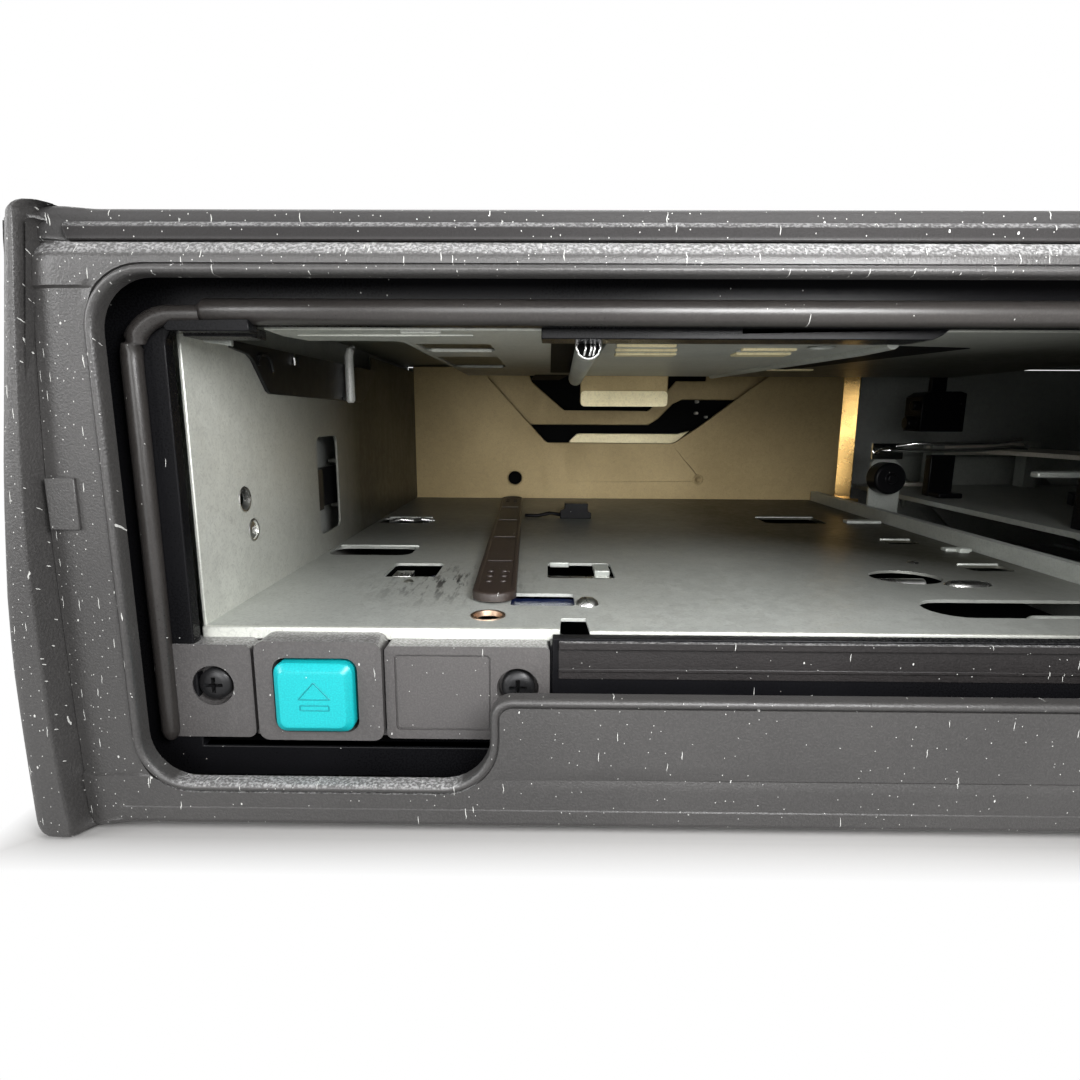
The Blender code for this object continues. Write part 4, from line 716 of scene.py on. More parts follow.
def makeInner():
    face, back, depth = inner["face"], inner["face"] + inner["thick"], inner["railDepth"]
    window = [(16.7, 8.0), (61.6, 8.0), (61.6, 22.9)] + arcPoints((146.0, 26.9), 4.0, 270, 360)
    window += arcPoints((146.0, 56.1), 4.0, 0, 90) + arcPoints((19.0, 57.8), 2.3, 90, 180)
    form = Form().sheet("front", [sharpBox(8.5, 4.0, 271.5, 68.3), window], face, back)
    form.sheet("front", [sharpBox(12.8, 7.0, 61.9, 21.9), sharpBox(30.5, 14.1, 35.9, 18.9)], 9.9, 11.4)
    form.boxes([(12.8, 6.8, 7.0, 61.9, 10.2, 8.0), (61.3, 6.8, 8.0, 63.1, 11.4, 21.9)])
    form.piece("innerMoulding", "black_plastic", replaces="inner_frame", edge=0.14)
    sill = [(left, face + near, low, right, face + far, high)
            for left, near, low, right, far, high in inner["sill"]]
    Form().boxes(sill).piece("sillFace", "black_plastic", stripBlack, edge=0.14)
    lug = Form().sheet("front", [inner["lug"]], 4.75, 7.2).sheet("front", [sharpBox(18.6, 58.9, 26.6, 60.0)],
                                                                 7.0, 11.1)
    lug.piece("railLug", "black_plastic", edge=0.14)
    left, corner = inner["railLeft"], inner["railCorner"]
    turn = inner["thinHeight"] - corner
    path = [(left, depth, height) for height in (9.2, 9.7, 10.6, 30.0, turn)]
    path += upright(arcPoints((left + corner, turn), corner, 180, 90, 10)[1:], depth)
    start = inner["thickStart"]
    path.append((start - 0.4, depth, inner["thinHeight"]))
    radii = [0.5, 0.9, 1.1, 1.15, 1.2] + [1.2 - 0.012 * (index + 1) for index in range(10)]
    radii.append(inner["thinRadius"])
    high, radius = inner["railHeight"], inner["railRadius"]
    rail = Form().tube(path, radii, 20)
    rail.tube([(start - 0.9, depth, high - 0.35), (start - 0.35, depth, high - 0.2),
               (start + 0.1, depth, high),
               (60.0, depth, high), (150.0, depth, high)], [0.7, 1.1, radius, radius, radius], 20)
    rail.piece("windowRail", "black_plastic", railBlack, angle=50)
    bar = Form().sheet("front", [inner["bar"]], 8.5, 13.4)
    bar.piece("topGuideBar", "black_plastic", replaces="top_guide_bar", edge=0.25)


# button panel, screws and eject button
panel = {"low": 9.4, "top": 21.8, "face": 6.3, "back": 9.6, "raised": 5.45, "screwHeight": 16.35,
         "screws": {"Left": 18.75, "Right": 57.3}, "pocket": 2.65, "head": 2.1, "shank": 1.0,
         "label": ((41.8, 10.6, 53.9, 20.7, 0.5), (42.05, 10.85, 53.65, 20.45, 0.4))}
button = {"box": (27.15, 11.05, 36.95, 20.05), "front": 4.0, "back": 7.6, "radius": 1.3, "bevel": 0.78,
          "symbolMiddle": 32.3, "symbolWire": 0.10}


def makeScrew(side, place):
    face, back, height, pocket, head = (panel[name] for name in ("face", "back", "screwHeight", "pocket",
                                                                 "head"))
    shank = panel["shank"]
    seat = Form().lathe([(pocket, face + 0.25), (2.55, face + 1.15), (2.45, face + 1.6), (1.3, face + 1.65),
                         (1.3, back), (pocket, back)], (place, 0.0, height), "y")
    seat.piece("screwPocket" + side, "panel_plastic")
    profile = [(0.0, face + 0.05), (head * 0.55, face + 0.08), (head * 0.86, face + 0.28),
               (head, face + 0.62), (head, face + 1.35), (shank, face + 1.4), (shank, 12.4), (0.0, 12.6)]
    screw = Form().lathe(profile, (place, 0.0, height), "y").piece(
        "panelScrew" + side, "dark_steel", replaces="panel_screw_" + side.lower())
    for wide, tall in ((1.35, 0.30), (0.30, 1.35)):
        cross = Form().skin([[(place + right * wide * share, depth, height + up * tall * min(1, share))
                              for right, up in ((-1, -1), (1, -1), (1, 1), (-1, 1))]
                             for depth, share in ((face - 0.6, 1.15), (face + 1.0, 0.45))])
        carve(screw, cross.piece("cross", None, looks["dark_steel"]))


def makePanel():
    low, top, face, back = panel["low"], panel["top"], panel["face"], panel["back"]
    holes = {side: ringPoints((place, panel["screwHeight"]), panel["pocket"], 32)
             for side, place in panel["screws"].items()}
    box = button["box"]
    form = Form()
    form.sheet("front", [roundBox(12.4, low, 23.8, top, 1.0), holes["Left"]], face, back)
    form.sheet("front", [roundBox(40.6, low, 61.3, top, 0.7), holes["Right"]], face, back)
    window = roundBox(box[0] - 0.4, box[1] - 0.4, box[2] + 0.4, box[3] + 0.4, 1.6)
    form.sheet("front", [roundBox(24.6, 9.5, 40.4, 22.6, 1.3), window], panel["raised"], back)
    form.box((23.6, face + 0.9, low), (25.2, back, top - 0.4))
    form.box((25.0, face + 0.9, low), (40.8, back, 10.6))
    made = form.piece("buttonPanel", "panel_plastic", replaces="button_panel")
    outside, inside = (roundBox(*row) for row in panel["label"])
    groove = Form().sheet("front", [outside, inside], face - 1, face + 0.3)
    plate = Form().sheet("front", [inside], face - 1, face + 0.12)
    carve(made, groove.piece("groove", None, looks["panel_plastic"]),
          plate.piece("plate", None, looks["panel_plastic"]))
    roundEdges(made, 0.13)
    for side, place in panel["screws"].items():
        makeScrew(side, place)


def makeButton():
    left, low, right, top = button["box"]
    face, bevel = button["front"], button["bevel"]
    rows = []
    for depth, inset in ((button["back"], 0.0), (face + bevel + 0.12, 0.0), (face + bevel, 0.03),
                         (face + bevel * 0.88, 0.10), (face + 0.16, bevel - 0.10),
                         (face + 0.05, bevel + 0.03), (face + 0.01, bevel + 0.22), (face, bevel + 0.5)):
        loop = roundBox(left + inset, low + inset, right - inset, top - inset,
                        max(0.5, button["radius"] - inset * 0.4))
        rows.append(upright(loop, depth))
    Form().skin(rows).piece("ejectButton", "button_plastic", body="button", replaces="eject_button", angle=24)
    middle = button["symbolMiddle"]
    symbol = Form()
    for loop in ([(middle - 1.95, 15.62), (middle + 1.95, 15.62), (middle, 17.82)],
                 sharpBox(middle - 1.78, 14.2, middle + 1.78, 14.84)):
        for ends in zip(loop, loop[1:] + loop[:1]):
            symbol.tube(upright(ends, face + 0.02), button["symbolWire"], 8)
    symbol.piece("ejectSymbol", "button_plastic", symbolTeal, "button", angle=60)
    stem = Form().box((31.0, button["back"] - 0.2, 14.5), (35.5, 15.4, 18.5))
    stem.piece("buttonStem", "button_plastic", body="button", edge=0.2)


# magazine bay: boxes are low corner then high corner, heights in tabs from the floor's top
bay = {"floorTop": 23.1, "left": 16.3, "right": 149.4, "back": 150.0, "roof": 60.5}
floor = {
    "edge": ((62.6, 9.6), (62.8, 14.3), (66.2, 14.3), (66.4, 8.9)),
    "holes": {
        "squareLeft": (32.8, 37.0, 41.8, 47.5, 0.9), "squareRight": (61.0, 37.0, 72.6, 48.6, 0.9),
        "squareFront": (55.5, 20.3, 65.0, 26.8, 0.8), "slotLeft": (17.2, 54.6, 33.8, 63.2, 2.4),
        "slotFarLeft": (17.0, 94.6, 30.2, 102.7, 1.0), "slotBack": (118.4, 98.0, 134.4, 107.8, 1.6),
        "slotMid": (137.9, 44.5, 145.9, 49.2, 1.2), "slotRearRight": (136.2, 70.4, 143.0, 74.6, 0.9),
    },
    "eyelet": (52.8, 15.3),
    "tabs": ((17.4, 63.2, -0.3, 34.0, 63.7, 0.35), (18.2, 102.8, -0.3, 30.0, 103.3, 0.4),
             (118.4, 107.9, -0.3, 134.4, 108.3, 0.3), (137.9, 49.3, -0.3, 145.6, 49.7, 0.35),
             (136.2, 74.7, -0.3, 143.0, 75.2, 0.35), (139.6, 98.8, -0.2, 148.6, 101.4, 0.7),
             (143.6, 62.4, -0.2, 149.0, 64.4, 0.6), (145.6, 60.9, -0.2, 147.6, 62.5, 0.9),
             (61.4, 48.2, -0.8, 65.0, 48.8, 0.2), (69.4, 43.0, -1.2, 72.2, 48.7, -0.1)),
    "shaft": (20.6, 19.6),
    "smears": ((38.8, 41.8, 20.9, 2.6, 1.9), (41.2, 43.0, 21.3, 1.6, 1.4), (66.2, 42.2, 21.0, 3.1, 1.9),
               (70.6, 43.6, 21.2, 1.9, 1.5), (63.2, 41.6, 20.9, 1.9, 1.6), (124.2, 40.6, 21.0, 2.4, 1.5)),
}


def makeFloor():
    left, right, back, top = bay["left"], bay["right"], bay["back"] - 0.3, bay["floorTop"]
    loops = [[(left, 9.6), *floor["edge"], (right, 8.9), (right, back), (left, back)]]
    loops += [roundBox(*place) for place in floor["holes"].values()]
    loops += [ringPoints(floor["eyelet"], 2.3), ovalPoints(122.9, 39.6, 5.9, 5.0)]
    loops.append(arcPoints((120.0, 20.6), 4.6, 90, 270, 10) + [(146.8, 16.0), (146.8, 25.2)])
    form = Form().sheet("flat", loops, top - 0.5, top)
    form.piece("bayFloor", "zinc_steel", floorZinc, replaces="bay_floor", edge=0.16)
    rims = Form().boxes([(left, 9.3, 21.5, 62.6, 10.2, top + 0.04),
                         (66.4, 8.7, 22.2, right, 9.4, top + 0.02)])
    rims.piece("floorLip", "zinc_steel", wallZinc, edge=0.2)
    Form().boxes(floor["tabs"], top).piece("floorTabs", "zinc_steel", edge=0.18)
    bumps = Form()
    bumps.lathe([(1.75, top - 0.1), (1.5, top + 0.45), (0.95, top + 0.85), (0.0, top + 1.0)],
                (66.8, 21.4, 0.0))
    bumps.lathe([(0.9, top - 0.1), (0.6, top + 0.3), (0.0, top + 0.4)], (38.0, 33.6, 0.0), steps=16)
    bumps.lathe([(1.1, top - 0.1), (0.8, top + 0.25), (0.0, top + 0.32)], (130.5, 51.0, 0.0), steps=16)
    bumps.skin([[(across, deep, top + rise)
                 for across, deep in ovalPoints(130.5, 34.4, 4.0 * share, 1.7 * share)]
                for share, rise in ((1.0, -0.1), (0.92, 0.3), (0.75, 0.55), (0.4, 0.68), (0.05, 0.7))])
    bumps.piece("floorBumps", "zinc_steel", looks["bright_steel"], angle=60)
    collar = [(2.45, top - 0.05), (2.4, top + 0.12), (2.0, top + 0.1), (1.8, top - 0.6), (2.3, top - 0.9)]
    Form().lathe(collar, (*floor["eyelet"], 0.0), steps=24).piece("floorEyelet", "zinc_steel", copper)
    deep, high = floor["shaft"]
    shafts = Form().rod((131.2, deep, high), (148.9, deep, high), 2.4, 24, 0.5)
    shafts.tube([(across, deep, high) for across in (141.5, 142.0, 145.5, 146.0)], [2.4, 2.9, 2.9, 2.4], 24)
    shafts.piece("floorShaft", "zinc_steel", replaces="floor_shaft", angle=50)
    under = Form()
    under.rod((31.6, 42.4, 20.2), (43.4, 42.4, 20.2), 1.6)
    under.rod((60.0, 42.8, 20.3), (73.6, 42.8, 20.3), 1.7)
    under.box((33.6, 40.3, 21.2), (36.8, 44.5, 22.4))
    under.tube([(19.4, 98.6, 22.6), (22.5, 98.2, 23.4), (25.5, 99.4, 22.9), (28.0, 98.3, 23.5),
                (31.0, 99.2, 23.0)], 0.6)
    under.rod((116.2, 41.8, 21.2), (127.6, 41.8, 21.2), 1.1)
    under.piece("floorRods", "bright_steel", edge=0.1)
    Form().box((17.0, 12.2, 16.4), (149.0, 148.0, 16.6)).piece("floorShade", "black_plastic", shadowBlack)
    smear = Form()
    turns = [math.radians(20 * step) for step in range(18)]
    for across, deep, up, wide, long in floor["smears"]:
        smear.skin([[(across + wide * share * (1 + 0.16 * math.sin(3 * turn + across)) * math.cos(turn),
                      deep + long * share * (1 + 0.2 * math.sin(2 * turn + deep)) * math.sin(turn),
                      up + rise) for turn in turns]
                    for share, rise in ((1.0, -0.9), (1.05, -0.2), (0.85, 0.3), (0.5, 0.55), (0.1, 0.62))])
    smear.box((54.6, 19.6, 21.4), (66.0, 27.4, 22.1))
    smear.piece("shaftGrease", "black_plastic", grease, angle=70)


# strip on the floor: its section is how far in and how high
strip = {"front": (53.0, 24.0), "back": (49.6, 138.0), "half": 3.3, "rivets": (5.0, 8.4, 11.8, 104.0, 108.0),
         "ribs": (20.0, 44.0, 68.0, 92.0),
         "section": ((0.0, 0.0), (0.0, 0.95), (0.12, 1.2), (0.35, 1.32), (0.7, 1.30), (0.85, 1.12),
                     (3.0, 1.10)),
         "clip": ((64.4, 23.1), (72.8, 23.1), (72.8, 24.6), (71.9, 25.2), (71.9, 27.2), (65.6, 27.2),
                  (65.6, 25.8), (64.4, 25.2))}


def makeStrip():
    start, end, half = Vector(strip["front"]), Vector(strip["back"]), strip["half"]
    heading = (end - start).normalized()
    side = Vector((-heading.y, heading.x))
    turn = math.degrees(math.atan2(heading.y, heading.x))
    low = bay["floorTop"] + 0.3
    rows = []
    for inset, rise in strip["section"]:
        loop = arcPoints(start, half - inset, turn + 90, turn + 270, 10)
        loop += arcPoints(end, half - inset, turn - 90, turn + 90, 10)
        rows.append([(across, deep, low + rise) for across, deep in loop])
    form = Form().skin(rows)
    for far in strip["rivets"]:
        for across in (-1.15, 1.15):
            place = start + heading * far + side * across
            form.lathe([(0.62, low + 1.05), (0.55, low + 1.28), (0.3, low + 1.36), (0.0, low + 1.38)],
                       (place.x, place.y, 0.0), steps=14)
    for far in strip["ribs"]:
        place = start + heading * far
        form.box((place.x - 2.2, place.y - 0.25, low + 1.0), (place.x + 2.2, place.y + 0.25, low + 1.26))
    form.piece("guideStrip", "brown_plastic", replaces="guide_strip", angle=45)
    clip = Form().sheet("front", [strip["clip"]], 104.0, 108.4)
    clip.tube([(64.8, 106.0, 23.9), (61.5, 105.8, 24.3), (58.5, 105.0, 23.7), (54.8, 105.2, 23.7)], 0.5)
    clip.piece("floorClip", "black_plastic", edge=0.25)


# left wall: outlines are (behind, height), and rings are lathed from the wall's face
wall = {
    "outline": ((10.2, 60.2), (10.2, 22.2), (11.9, 22.2), (11.9, 6.8), (151.0, 6.8), (151.0, 64.6),
                (97.0, 64.6), (96.0, 60.2)),
    "slot": (54.8, 27.0, 67.0, 46.0, 1.6),
    "hole": (23.7, 37.9),
    "rivet": (25.8, 33.0),
    "rings": (("rivet", (1.75, 0.02), (1.6, 0.14), (1.4, 0.1), (1.3, -1.0)),
              ("rivet", (1.5, -0.15), (0.9, -0.05), (0.62, 0.0), (0.5, -0.5), (0.0, -0.55)),
              ("hole", (1.95, -0.02), (1.82, 0.10), (1.6, 0.06), (1.5, -1.0))),
    "lugs": ((12.4, 74.0 - 0.8, 30.2, 15.1, 76.8, 31.1), (12.4, 74.0 - 0.8, 39.9, 15.1, 76.8, 40.8)),
    "bracket": ((22.0, 60.2), (22.3, 59.2), (27.2, 58.8), (28.6, 58.2), (33.2, 53.8), (34.2, 53.4),
                (84.6, 53.3), (88.6, 54.4), (98.8, 61.4)),
    "arch": ((30.0, 57.4), (30.2, 58.6), (31.0, 59.2), (33.4, 59.2), (34.6, 58.4), (35.2, 56.8)),
    "wire": ((2.4, 73.6, 64.8), (2.1, 73.2, 64.0), (1.8, 73.0, 62.8), (1.8, 73.0, 60.0), (1.8, 73.0, 53.4),
             (1.8, 73.0, 52.9)),
    "pin": ((1.0, 43.9, 60.3), (1.1, 43.9, 59.0), (1.1, 43.9, 58.5)),
}


def makeLeftWall():
    left = bay["left"]
    side = left + 0.2
    loops = [wall["outline"], roundBox(*wall["slot"]), ringPoints(wall["hole"], 1.65),
             ringPoints(wall["rivet"], 1.3)]
    form = Form().sheet("side", loops, side - 0.5, side).boxes(wall["lugs"])
    form.piece("bayLeftWall", "zinc_steel", wallZinc, replaces="bay_left_wall", edge=0.14)
    trims = Form()
    for name, *profile in wall["rings"]:
        trims.lathe([(radius, side + out) for radius, out in profile], (0.0, *wall[name]), "x", 28)
    trims.piece("wallRivets", "bright_steel", angle=50)
    folds = Form().sheet("front", [[(17.7, 59.0), (21.2, 58.5), (21.2, 60.1), (17.7, 60.1)]], 13.2, 14.0)
    folds.piece("roofTabs", "zinc_steel", edge=0.12)
    bracket = Form().sheet("side", [wall["bracket"]], left, left + 0.8)
    bracket.tube([(left + 0.9, deep, height) for deep, height in wall["arch"]], 0.35, 8)
    bracket.boxes([(left + 0.7, 46.0, 58.4, left + 1.0, 46.8, 60.2),
                   (left + 0.6, 70.0, 53.4, left + 1.1, 74.0, 54.0)])
    bracket.piece("lockBracket", "dark_steel", replaces="lock_bracket", edge=0.12)
    wire, pin = ([(left + out, deep, height) for out, deep, height in wall[name]] for name in ("wire", "pin"))
    Form().tube(wire, [0.7, 0.85, 0.95, 0.95, 0.95, 0.6], 12).piece(
        "lockWire", "bright_steel", wireSteel, replaces="lock_wire", angle=60)
    Form().tube(pin, [0.34, 0.34, 0.2], 10).piece("hookPin", "bright_steel", chrome, angle=60)


# roof: outlines are (along, behind), and lips hang from its underside
roof = {
    "outline": ((25.3, 13.5), (163.8, 13.5), (163.8, 100.4), (40.4, 100.4), (39.8, 27.0), (39.0, 25.4),
                (26.6, 25.2), (25.0, 20.0)),
    "slots": ((41.1, 28.8, 52.2, 38.8, 0.8), (41.0, 49.0, 51.8, 72.6, 0.8)),
    "lips": ((42.0, 37.6, -0.25, 51.8, 38.4, 0.3), (42.6, 71.0, -0.25, 51.4, 72.2, 0.3)),
    "ridge": ((27.6, 18.6), (40.0, 18.2), (51.0, 18.0)),
    "beads": ((70.0, 19.6, 59.25, 78.0, 20.5, 59.75), (70.4, 25.2, 59.25, 79.2, 26.4, 59.75),
              (71.0, 31.0, 59.25, 80.2, 33.6, 59.75), (88.0, 23.8, 59.25, 95.6, 25.0, 59.75),
              (88.8, 29.8, 59.25, 97.0, 33.2, 59.75)),
    "plate": ((70.6, 17.8), (106.6, 17.8), (106.2, 24.0), (98.6, 84.6), (97.8, 86.0), (68.9, 86.0),
              (68.6, 20.0), (69.2, 18.4)),
    "plateSlots": ((71.0, 21.6, 78.4, 24.4, 0.5), (71.4, 27.6, 79.4, 30.2, 0.5),
                   (88.2, 26.2, 96.0, 28.8, 0.5)),
    "plateHole": (98.2, 22.0),
    "bend": ((68.4, 60.3), (68.4, 53.6), (68.7, 52.9), (69.4, 52.6), (87.8, 52.6), (88.6, 52.9), (88.9, 53.6),
             (88.9, 60.3)),
    "gaps": (((61.2, 13.9), (68.3, 13.9), (68.5, 87.0), (61.4, 87.0)),
             ((107.4, 28.0), (124.0, 31.0), (113.0, 73.0), (99.4, 86.0), (104.6, 50.0)),
             ((57.6, 96.0), (66.0, 96.0), (64.0, 118.0), (56.0, 118.0))),
    "spring": ((65.9, 14.6, 58.75), (67.2, 84.5, 58.9)),
}


def makeRoof():
    low = bay["roof"]
    form = Form().sheet("flat", [roof["outline"]] + [roundBox(*slot) for slot in roof["slots"]], low,
                        low + 0.45)
    form.piece("bayRoof", "zinc_steel", roofZinc, replaces="bay_top_plate", edge=0.14)
    lips = Form().boxes(roof["lips"], low)
    lips.tube([(across, deep, low) for across, deep in roof["ridge"]], [0.12, 0.22, 0.12], 12)
    lips.boxes([(42.3, 13.6, -0.35, 47.4, 14.3, 0.1)], low).piece("roofLips", "zinc_steel", wallZinc,
                                                                  edge=0.1)
    beads = Form().boxes([(108.4, 74.0, -0.3, 117.9, 76.2, 0.1)], low).boxes(roof["beads"])
    beads.piece("roofBeads", "zinc_steel", warm, edge=0.16)
    holes = [roundBox(*slot) for slot in roof["plateSlots"]] + [ringPoints(roof["plateHole"], 1.7)]
    form = Form().sheet("flat", [roof["plate"]] + holes, 59.6, 60.4)
    form.tube([(106.0, 18.2, 59.7), (105.6, 26.0, 59.6), (98.4, 83.6, 59.6)], [0.9, 0.9, 0.7], 10, flat=0.9)
    form.lathe([(2.0, 59.45), (1.85, 59.35), (1.6, 59.45), (1.6, 60.0)], (*roof["plateHole"], 0.0))
    form.piece("roofSlide", "zinc_steel", edge=0.14)
    Form().sheet("front", [roof["bend"]], 85.4, 86.1).piece("roofBend", "rear_steel", edge=0.2)
    tongue = Form().sheet("front", [roundBox(68.5, 52.6, 88.8, 56.2, 1.0)], 85.0, 85.5)
    tongue.piece("roofTongue", "rear_steel", warm, edge=0.2)
    # a dim sheet above the roof: painted shade seen through its slots and gaps
    Form().box((12.0, 26.0, 66.9), (163.0, 158.0, 67.1)).piece("roofShadeSheet", "zinc_steel", paintedShadeZinc)
    # black sheets in the gaps between the roof's plates, as painted shade
    dark = Form()
    for loop in roof["gaps"]:
        dark.sheet("flat", [loop], low - 0.12, low + 0.02)
    dark.piece("roofGapShade", "black_plastic", shadowBlack)
    start, end = (Vector(place) for place in roof["spring"])
    tube = Form().tube([start, start + (end - start) * 0.01, end], 1.6, 28)
    tube.piece("springTube", "zinc_steel", angle=50)
    ring = Form().tube([tuple(start + Vector((1.5 * math.cos(turn), -0.1, 1.5 * math.sin(turn))))
                        for turn in (math.radians(12 * step) for step in range(30))], 0.22, 10, closed=True)
    for shift in (-0.55, 0.15, 0.6):
        ring.tube([(65.9 + shift, 14.5, 57.6), (65.9 + shift + 0.2, 14.3, 58.4),
                   (65.9 + shift + 0.1, 14.5, 59.6)],
                  0.16, 8)
    ring.piece("springEnd", "bright_steel", chrome, angle=60)
    # a black disc in the tube's mouth as painted shade
    mouth = Form().lathe([(0.0, 14.55), (1.3, 14.55), (1.3, 14.8)], (65.9, 0.0, 58.75), "y")
    mouth.piece("tubeMouthShade", "black_plastic", shadowBlack)


# rear wall: outlines are (along, height), with its hole, rivet and pins
rear = {
    "top": 66.4,
    "edge": ((132.9, 66.4), (133.1, 63.5), (122.9, 56.1), (111.7, 47.6), (104.0, 42.4), (102.4, 41.7),
             (60.9, 41.9), (59.9, 42.5), (41.0, 63.1), (41.1, 66.4)),
    "hole": (49.9, 29.9),
    "rivet": (111.9, 29.7),
    "rings": (("rivet", (1.75, -0.02), (1.6, -0.18), (1.1, -0.22), (0.9, -0.05), (0.4, 0.3), (0.0, 0.3)),
              ("hole", (2.8, -0.02), (2.65, -0.12), (2.4, -0.05), (2.25, 0.9))),
    "channel": ((34.7, 66.5), (34.7, 47.6), (94.9, 47.7), (98.2, 49.8), (103.0, 54.8), (105.7, 56.1),
                (145.0, 56.1),
                (145.0, 66.8), (113.9, 66.8), (113.7, 62.3), (103.7, 62.3), (101.2, 59.4), (95.7, 53.3),
                (94.4, 52.4), (66.5, 52.5), (55.5, 61.8), (53.6, 66.5)),
    "ledge": ((67.8, 41.0), (68.2, 42.4), (70.6, 44.7), (71.6, 44.9), (104.6, 44.9), (108.6, 45.9),
              (103.0, 41.0)),
    "post": ((157.9, 149.4), (162.5, 147.7), (163.0, 148.6), (158.3, 150.3)),
    "postFoot": ((157.2, 147.0), (163.9, 144.6), (164.5, 146.4), (158.0, 149.2)),
    "pins": ((111.7, 55.6, 0.55), (111.6, 51.8, 0.55), (115.0, 50.5, 0.45)),
}


def makeRearWall():
    left, right, top, back = bay["left"], 163.8, rear["top"], bay["back"]
    outline = [(left, 6.8), (right, 6.8), (right, top), *rear["edge"], (left, top)]
    form = Form().sheet("front", [outline, ringPoints(rear["hole"], 2.3), ringPoints(rear["rivet"], 0.6, 16)],
                        back, back + 1.0)
    form.piece("bayRearWall", "rear_steel", replaces="bay_rear_wall", edge=0.2)
    Form().sheet("front", [rear["channel"]], 153.5, 154.3).piece("rearChannel", "rear_steel", edge=0.25)
    Form().sheet("front", [rear["ledge"]], 151.8, 152.6).piece("rearLedge", "rear_steel", warm, edge=0.25)
    # the plate behind the rear wall is painted black as shade seen through the wall's cut-out
    backing = Form().sheet("front", [sharpBox(34.0, 24.0, 146.0, 66.9)], 158.0, 158.8)
    backing.piece("rearBackingShade", "dark_steel", shadowBlack)
    trims = Form()
    for name, *profile in rear["rings"]:
        across, height = rear[name]
        trims.lathe([(radius, back + sunk) for radius, sunk in profile], (across, 0.0, height), "y", 28)
    trims.piece("rearRivets", "rear_steel", angle=50)
    post = Form().sheet("flat", [rear["post"]], 23.2, 64.1).sheet("flat", [rear["postFoot"]], 23.1, 24.2)
    post.piece("rearPost", "rear_steel", brass, edge=0.12)
    # pale pins whose white is a painted highlight, standing in for glints on shiny pins
    glints = Form()
    for across, height, size in rear["pins"]:
        glints.lathe([(size, 157.9), (size * 0.95, 155.4), (size * 0.6, 155.1), (0.0, 155.0)],
                     (across, 0.0, height), "y", 16)
    glints.piece("rearPinGlints", "pale_plastic", angle=60)


# right of the bay: tray motor with its plate and rods, and parts that ride on the deck
works = {
    "block": ((168.8, 46.6), (181.4, 46.6), (181.4, 57.4), (179.8, 58.0), (171.0, 58.0), (168.8, 56.6)),
    "motor": ((0.0, 107.4), (1.2, 107.4), (1.4, 108.2), (3.9, 108.3), (4.35, 108.8), (4.35, 113.6),
              (0.0, 113.8)),
    "plate": ((151.9, 6.7), (160.6, 6.7), (160.6, 37.0), (158.0, 39.6), (153.6, 39.6), (151.9, 38.0)),
    "rods": (((152.8, 114.2, 40.6), (152.9, 112.6, 41.3), (153.6, 111.0, 41.6), (155.2, 110.4, 41.7),
              (170.0, 110.0, 41.7), (179.0, 109.0, 42.0), (186.0, 108.0, 42.8), (190.4, 108.0, 42.6)),
             ((158.6, 114.2, 42.6), (162.0, 111.4, 43.5), (172.0, 111.0, 43.5), (184.0, 111.0, 43.9),
              (190.4, 110.6, 44.8))),
    "deckBar": ((157.2, 58.2), (186.0, 58.2), (186.0, 63.0), (184.0, 65.0), (159.0, 62.0), (157.2, 60.4)),
    "deckPosts": ((170.8, 118.0, 28.2, 177.8, 121.0, 40.0), (167.6, 58.8, 28.2, 171.6, 61.6, 38.9),
                  (171.0, 112.5, 28.2, 177.6, 118.2, 29.6)),
}


def makeMechanism():
    fixed = Form().sheet("front", [works["block"]], 122.0, 131.0)
    fixed.box((172.0, 124.0, 57.8), (176.5, 125.6, 67.4))
    fixed.rod((165.8, 125.0, 49.0), (169.0, 125.0, 49.0), 2.1, 20, 0.4)
    fixed.rod((166.8, 124.0, 54.0), (169.0, 124.0, 54.0), 1.5, 20, 0.3)
    fixed.lathe(works["motor"], (154.9, 0.0, 34.0), "y").piece("trayMotor", "black_plastic", edge=0.2)
    Form().sheet("front", [works["plate"]], 113.9, 114.8).piece("motorPlate", "zinc_steel", edge=0.15)
    rods = Form()
    for path in works["rods"]:
        rods.tube(path, 0.55)
    rods.box((151.9, 113.9, 39.0), (160.4, 114.8, 43.4)).piece("trayRods", "bright_steel", chrome, angle=60)
    Form().sheet("flat", [works["deckBar"]], 38.8, 39.9).piece("deckBar", "zinc_steel", body="deck", edge=0.3)
    Form().boxes(works["deckPosts"]).piece("deckPosts", "black_plastic", body="deck", edge=0.3)


# cover, case screws and socket, and how far the CAD's own pieces are rounded
outside = {
    "beads": (((24.0, 40.0), (256.0, 40.0)), ((24.0, 130.0), (256.0, 130.0)), ((70.0, 56.0), (70.0, 114.0)),
              ((210.0, 56.0), (210.0, 114.0))),
    "coverTop": 68.4,
    "screws": ("left_front", "left_rear", "right_front", "right_rear"),
    "socket": (80.0, 31.5),
    "rounded": {"sliding_door": 0.25, "top_cover": 0.5, "bottom_cover": 0.4, "chassis_pan": 0.2,
                "deck_frame": 0.15,
                "lift_cam_front": 0.15, "lift_cam_rear": 0.15, "clamp_arm": 0.2, "pickup_sled": 0.3,
                "main_board": 0.12, "eject_lever": 0.15, "tray_lever": 0.2, "bay_guide_rail": 0.2,
                "lift_gear": 0.1,
                "rear_socket": 0.2, "turntable": 0.15, "clamp_disc": 0.2, "magazine_latch": 0.1},
}


